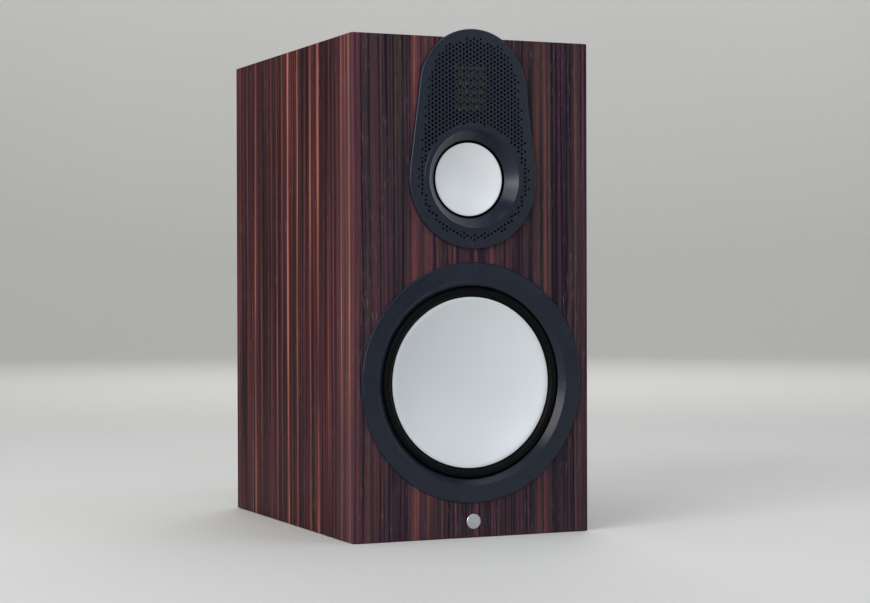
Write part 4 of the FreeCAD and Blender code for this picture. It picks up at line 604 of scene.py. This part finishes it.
def dress_nodes(made):
    """Gives every CAD node the material of its slot in the record."""
    slots = {part["node"]: part["material_slot"] for part in frame["record"]["subparts"]}
    for name, node in frame["nodes"].items():
        material = made["rear_trim"] if name in REAR_TRIM_NODES else made[slots[name]]
        if node.data.materials:
            for slot in node.material_slots:
                slot.material = material
        else:
            node.data.materials.append(material)


# ---------------------------------------------------------------- cones and suspensions

# Outlines are closed lists of (radius, depth behind the baffle) in mm, turned round the axis of a
# driver.

RING_STEPS = 192
ANGLES = [2 * math.pi * k / RING_STEPS for k in range(RING_STEPS)]


def turned_points(outline, centre):
    """The outline's points at every step round the axis."""
    return [(centre.x + r * MM * math.sin(a), FRONT + d * MM, centre.z + r * MM * math.cos(a))
            for a in ANGLES for r, d in outline]


def turned_object(name, verts, faces):
    """The object, with its faces turned outwards."""
    mesh = bpy.data.meshes.new(name)
    mesh.from_pydata(verts, [], faces)
    build = bmesh.new()
    build.from_mesh(mesh)
    bmesh.ops.recalc_face_normals(build, faces=build.faces)
    build.to_mesh(mesh)
    build.free()
    return new_object(name, mesh)


def make_ring(name, outline, centre):
    """An outline that keeps clear of the axis."""
    count, faces = len(outline), []
    for k in range(RING_STEPS):
        here, there = k * count, (k + 1) % RING_STEPS * count
        for i in range(count):
            after = (i + 1) % count
            faces.append((here + i, here + after, there + after, there + i))
    return turned_object(name, turned_points(outline, centre), faces)


def make_shell(name, outline, centre):
    """An outline that starts and ends on the axis."""
    verts = [(centre.x, FRONT + d * MM, centre.z) for d in (outline[0][1], outline[-1][1])]
    verts += turned_points(outline[1:-1], centre)
    count, faces = len(outline) - 2, []
    for k in range(RING_STEPS):
        here, there = 2 + k * count, 2 + (k + 1) % RING_STEPS * count
        faces += [(here + i, here + i + 1, there + i + 1, there + i) for i in range(count - 1)]
        faces += [(0, here, there), (1, there + count - 1, here + count - 1)]
    return turned_object(name, verts, faces)


def make_dish(name, node, rim, depth, hollow, wall, lip, body, material):
    """A cone's shallow round dish with a flat lip. Sizes are in mm; hollow is the dish's depth."""
    inner = rim - lip
    ball = (inner ** 2 + hollow ** 2) / (2 * hollow)
    bowl = [(r, depth + hollow - ball + math.sqrt(ball ** 2 - r ** 2))
            for r in np.linspace(0, inner - 0.3, 30)]
    edge = [(inner + 0.2, depth + 0.02), (rim - 0.25, depth), (rim - 0.06, depth + 0.06),
            (rim, depth + 0.2), (rim, depth + wall)]
    outline = bowl + edge + [(r, d + wall) for r, d in reversed(bowl)]
    piece = make_shell(name, outline, middle(node))
    piece.data.materials.append(material)
    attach(piece, body)
    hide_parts(node)


def arc(start, end, radius, steps):
    """Points after start up to end, for an end further out. A positive radius bulges forwards."""
    start, end = np.array(start), np.array(end)
    chord = end - start
    half = np.linalg.norm(chord) / 2
    normal = np.array((chord[1], -chord[0])) / (2 * half)
    rise = math.sqrt(radius ** 2 - half ** 2)
    centre = (start + end) / 2 - np.sign(radius) * normal * rise
    first = math.atan2(*(start - centre)[::-1])
    last = math.atan2(*(end - centre)[::-1])
    if radius > 0 and last < first:
        last += 2 * math.pi
    if radius < 0 and last > first:
        last -= 2 * math.pi
    return [tuple(centre + abs(radius) * np.array((math.cos(a), math.sin(a))))
            for a in np.linspace(first, last, steps + 1)[1:]]


def rolled(before, roll, flange, under, after):
    """Outline of a surround. roll and under are arcs as (start, end, radius, steps)."""
    return [*before, roll[0], *arc(*roll), *flange, *reversed(arc(*under)), under[0], *after]


def corrugated(inner, outer, depth, waves, height, wall):
    """Outline of a spider: rounded waves between two flat lips, the same height as the CAD's."""
    lip = (outer - inner) / (2 * waves + 2)
    first, steps = 1.9, 8                          # place of the first peak in lips; points a flank
    peaks = [(inner, 0.0), (inner + lip, 0.0)]
    peaks += [(inner + lip * (k + first), height if k % 2 else -height)
              for k in range(2 * waves - 1)]
    peaks += [(outer - lip, 0.0), (outer, 0.0)]
    front = [(inner, depth)]
    for (r0, h0), (r1, h1) in zip(peaks, peaks[1:]):
        for k in range(1, steps + 1):
            t = k / steps
            ease = (1 - math.cos(math.pi * t)) / 2
            front.append((r0 + (r1 - r0) * t, depth + h0 + (h1 - h0) * ease))
    return front + [(r, d + wall) for r, d in reversed(front)]


WOOFER_SURROUND = rolled(
    before=[(82.9, 5.2), (85.0, 5.2)], roll=((87.0, 5.2), (96.3, 4.5), 4.85, 20),
    flange=[(100.0, 4.5), (103.9, 4.5), (104.0, 4.6), (104.0, 5.2), (103.9, 5.3), (99.0, 5.3)],
    under=((87.65, 6.0), (95.6, 5.3), 4.02, 16), after=[(85.0, 6.0), (82.9, 6.0)])
MID_SURROUND = rolled(
    before=[(35.4, 10.0), (36.6, 10.0)], roll=((37.6, 10.0), (42.2, 11.2), -2.6, 16),
    flange=[(43.8, 11.2), (45.4, 11.2), (45.4, 12.0), (43.8, 12.0)],
    under=((37.2, 10.7), (41.9, 12.0), -2.9, 12), after=[(36.4, 10.7), (35.4, 10.7)])
WOOFER_SPIDER = corrugated(25.75, 70.0, depth=45.4, waves=5, height=2.2, wall=0.6)
MID_SPIDER = corrugated(12.6, 31.0, depth=20.4, waves=4, height=0.9, wall=0.5)

# name, CAD node, outline, moving body, slot, and two radii in mm: inside the first the ring moves
# with the cone, and outside the second it stays with the frame
SUSPENSIONS = (
    ("woofer_surround_rubber", "woofer_surround", WOOFER_SURROUND, "woofer_moving", "rubber",
     (86.9, 96.4)),
    ("mid_surround_rubber", "mid_surround", MID_SURROUND, "mid_moving", "rubber", (37.4, 42.2)),
    ("woofer_spider_cloth", "woofer_spider", WOOFER_SPIDER, "woofer_moving", "spider_cloth",
     (30.0, 66.0)),
    ("mid_spider_cloth", "mid_spider", MID_SPIDER, "mid_moving", "spider_cloth", (15.0, 28.0)),
)


def set_blend(piece, share):
    """Gives each vertex its share of the moving body's travel, eased at both ends."""
    weight = share * share * (3 - 2 * share)
    layer = piece.data.attributes["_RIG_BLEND"]
    layer.data.foreach_set("value", weight.astype(np.float32))


def make_suspension(name, node, outline, moving, held, material):
    """A surround or spider that rolls along with its cone."""
    centre = middle(node)
    piece = make_ring(name, outline, centre)
    piece.data.materials.append(material)
    low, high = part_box("front_baffle")
    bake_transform(piece, "cabinet", moving, start=low, end=high)
    co = surface(piece)
    radius = np.hypot(co[:, 0] - centre.x, co[:, 2] - centre.z) / MM
    inner, outer = held
    set_blend(piece, np.clip((outer - radius) / (outer - inner), 0, 1))
    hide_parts(node)


# ---------------------------------------------------------------- the woofer's braided leads

LEAD_ROUTE = (                                     # (below the axis, depth) in mm, from the cone
    (41, 19.6), (55, 26), (70, 36), (84, 45), (88.5, 53), (86, 60), (77.4, 60))
LEAD_APART = 16                                    # mm to each side of the axis
LEAD_RADIUS = 0.8                                  # mm
LEAD_FINER = 6                                     # steps between two points of the curve


def route_line(points):
    """Close points along a smooth curve through the route."""
    curve = bpy.data.curves.new("route", "CURVE")
    curve.dimensions = "3D"
    spline = curve.splines.new("NURBS")
    spline.points.add(len(points) - 1)
    for point, place in zip(spline.points, points):
        point.co = (*place, 1)
    spline.order_u, spline.use_endpoint_u = 3, True
    curve.resolution_u = 12
    holder = bpy.data.objects.new("route", curve)
    bpy.context.scene.collection.objects.link(holder)
    bpy.context.view_layer.update()
    mesh = bpy.data.meshes.new_from_object(holder)
    line = [Vector(v.co) for v in mesh.vertices]
    bpy.data.objects.remove(holder)
    close = [a.lerp(b, t / LEAD_FINER) for a, b in zip(line, line[1:]) for t in range(LEAD_FINER)]
    return close + line[-1:]


def plaited_tube(name, line, radius, lobes=4, lobe_height=0.14, twists=24, around=24):
    """A tube whose section has rounded lobes that wind along it, like a plaited braid."""
    verts, faces = [], []
    side = Vector((1, 0, 0))
    last = len(line) - 1
    for k, point in enumerate(line):
        ahead = (line[min(k + 1, last)] - line[max(k - 1, 0)]).normalized()
        up = ahead.cross(side).normalized()
        turn = 2 * math.pi * twists * k / last
        for j in range(around):
            a = 2 * math.pi * j / around
            lobe = radius * (1 - lobe_height + lobe_height * math.cos(lobes * a + turn))
            verts.append(tuple(point + (side * math.cos(a) + up * math.sin(a)) * lobe))
    for k in range(last):
        low, high = k * around, (k + 1) * around
        for j in range(around):
            after = (j + 1) % around
            faces.append((low + j, low + after, high + after, high + j))
    faces += [tuple(range(around))[::-1], tuple(range(last * around, len(verts)))]
    mesh = bpy.data.meshes.new(name)
    mesh.from_pydata(verts, [], faces)
    return new_object(name, mesh)


def make_woofer_leads(material):
    """Two braids from the terminals on the frame to the cone, which bend as it moves."""
    axis = middle("woofer_cone")
    for side, name in ((-1, "woofer_lead_left"), (1, "woofer_lead_right")):
        points = [(side * LEAD_APART * MM, FRONT + depth * MM, axis.z - below * MM)
                  for below, depth in LEAD_ROUTE]
        line = route_line(points)
        piece = plaited_tube(name, line, LEAD_RADIUS * MM)
        piece.data.materials.append(material)
        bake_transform(piece, "cabinet", "woofer_moving", start=points[-1], end=points[0])
        around = len(piece.data.vertices) // len(line)
        set_blend(piece, np.repeat(np.linspace(1, 0, len(line)), around))
        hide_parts("woofer_tinsel_leads")


# ---------------------------------------------------------------- wadding

PAD_INSET = 0.010                                  # smaller than the CAD's block all round, metres
PAD_CORNER = 0.016                                 # radius of its corners
PAD_VOXEL = 0.006                                  # size of its faces
PUFF_FRAMES = 20
PUFF_PRESSURE = 4
PUFF_REACH = 0.008                                 # the furthest that the puffing moves the surface
LUMPS = 26                                         # waves in random directions
LUMP_SCALE = 95                                    # radians per metre
LUMP_HEIGHT = 0.0014
BOX_MARGIN = 0.0004                                # keeps the pad inside the CAD's block
SEED = 7


def pad_object(centre, size):
    """A rounded block with an even mesh."""
    mesh = bpy.data.meshes.new("wadding_pad")
    build = bmesh.new()
    bmesh.ops.create_cube(build, size=1.0)
    bmesh.ops.subdivide_edges(build, edges=build.edges[:], cuts=5, use_grid_fill=True)
    half = (size - Vector((2 * PAD_INSET,) * 3)) / 2
    for vert in build.verts:
        place = Vector((vert.co[k] * 2 * half[k] for k in range(3)))
        core = Vector((max(-half[k] + PAD_CORNER, min(half[k] - PAD_CORNER, place[k]))
                       for k in range(3)))
        out = place - core
        if out.length > PAD_CORNER:
            place = core + out.normalized() * PAD_CORNER
        vert.co = centre + place
    build.to_mesh(mesh)
    build.free()
    pad = new_object("wadding_pad", mesh)
    bpy.context.view_layer.objects.active = pad
    pad.select_set(True)
    remesh = pad.modifiers.new("remesh", "REMESH")
    remesh.mode, remesh.voxel_size = "VOXEL", PAD_VOXEL
    bpy.ops.object.modifier_apply(modifier=remesh.name)
    return pad


def puff_up(pad):
    """Blows the pad up a little, as cloth under pressure."""
    puff = pad.modifiers.new("puff", "CLOTH")
    puff.settings.use_pressure = True
    puff.settings.uniform_pressure_force = PUFF_PRESSURE
    puff.settings.effector_weights.gravity = 0
    puff.settings.quality = 5
    for k in range(1, PUFF_FRAMES + 1):
        bpy.context.scene.frame_set(k)
    bpy.ops.object.modifier_apply(modifier=puff.name)
    bpy.context.scene.frame_set(1)


def lumpy(co, centre):
    """The points moved in and out by slow random waves."""
    rng = np.random.default_rng(SEED)
    waves = rng.normal(size=(LUMPS, 3)) * LUMP_SCALE
    phase = rng.uniform(0, 2 * math.pi, LUMPS)
    ripple = np.sin(co @ waves.T + phase).sum(1) / LUMPS ** 0.5
    away = co - np.array(centre)
    away /= np.linalg.norm(away, axis=1, keepdims=True)
    return co + away * ripple[:, None] * LUMP_HEIGHT


def make_wadding(material):
    """A pad of loose fibre behind the woofer, puffed up by a short cloth run."""
    low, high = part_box("acoustic_wadding")
    centre = (low + high) / 2
    pad = pad_object(centre, high - low)
    rest = surface(pad)
    puff_up(pad)
    step = surface(pad) - rest
    reach = np.linalg.norm(step, axis=1, keepdims=True)
    co = lumpy(rest + step * np.minimum(1, PUFF_REACH / np.maximum(reach, 1e-9)), centre)
    co = np.clip(co, np.array(low) + BOX_MARGIN, np.array(high) - BOX_MARGIN)
    pad.data.vertices.foreach_set("co", co.astype(np.float32).ravel())
    pad.data.update()
    smooth = pad.modifiers.new("smooth", "SUBSURF")
    smooth.levels = smooth.render_levels = 1
    bpy.ops.object.modifier_apply(modifier=smooth.name)
    for face in pad.data.polygons:
        face.use_smooth = True
    pad.data.materials.clear()
    pad.data.materials.append(material)
    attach(pad, "cabinet")
    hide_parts("acoustic_wadding")


# ---------------------------------------------------------------- the scene

make_camera()
for light in LIGHTS:
    area_light(*light)
make_world()
made = make_materials()
make_stage(backdrop("floor"))
dress_nodes(made)
make_dish("woofer_dish", "woofer_cone", rim=85.8, depth=4.4, hollow=18, wall=0.8, lip=3,
          body="woofer_moving", material=made["cone"])
make_dish("mid_dish", "mid_cone", rim=36.8, depth=9.4, hollow=6, wall=0.6, lip=1.5,
          body="mid_moving", material=made["mid_cone"])
for name, node, outline, moving, slot, held in SUSPENSIONS:
    make_suspension(name, node, outline, moving, held, made[slot])
make_woofer_leads(made["braid"])
make_wadding(made["wadding"])

bpy.context.scene.view_settings.view_transform = "Standard"
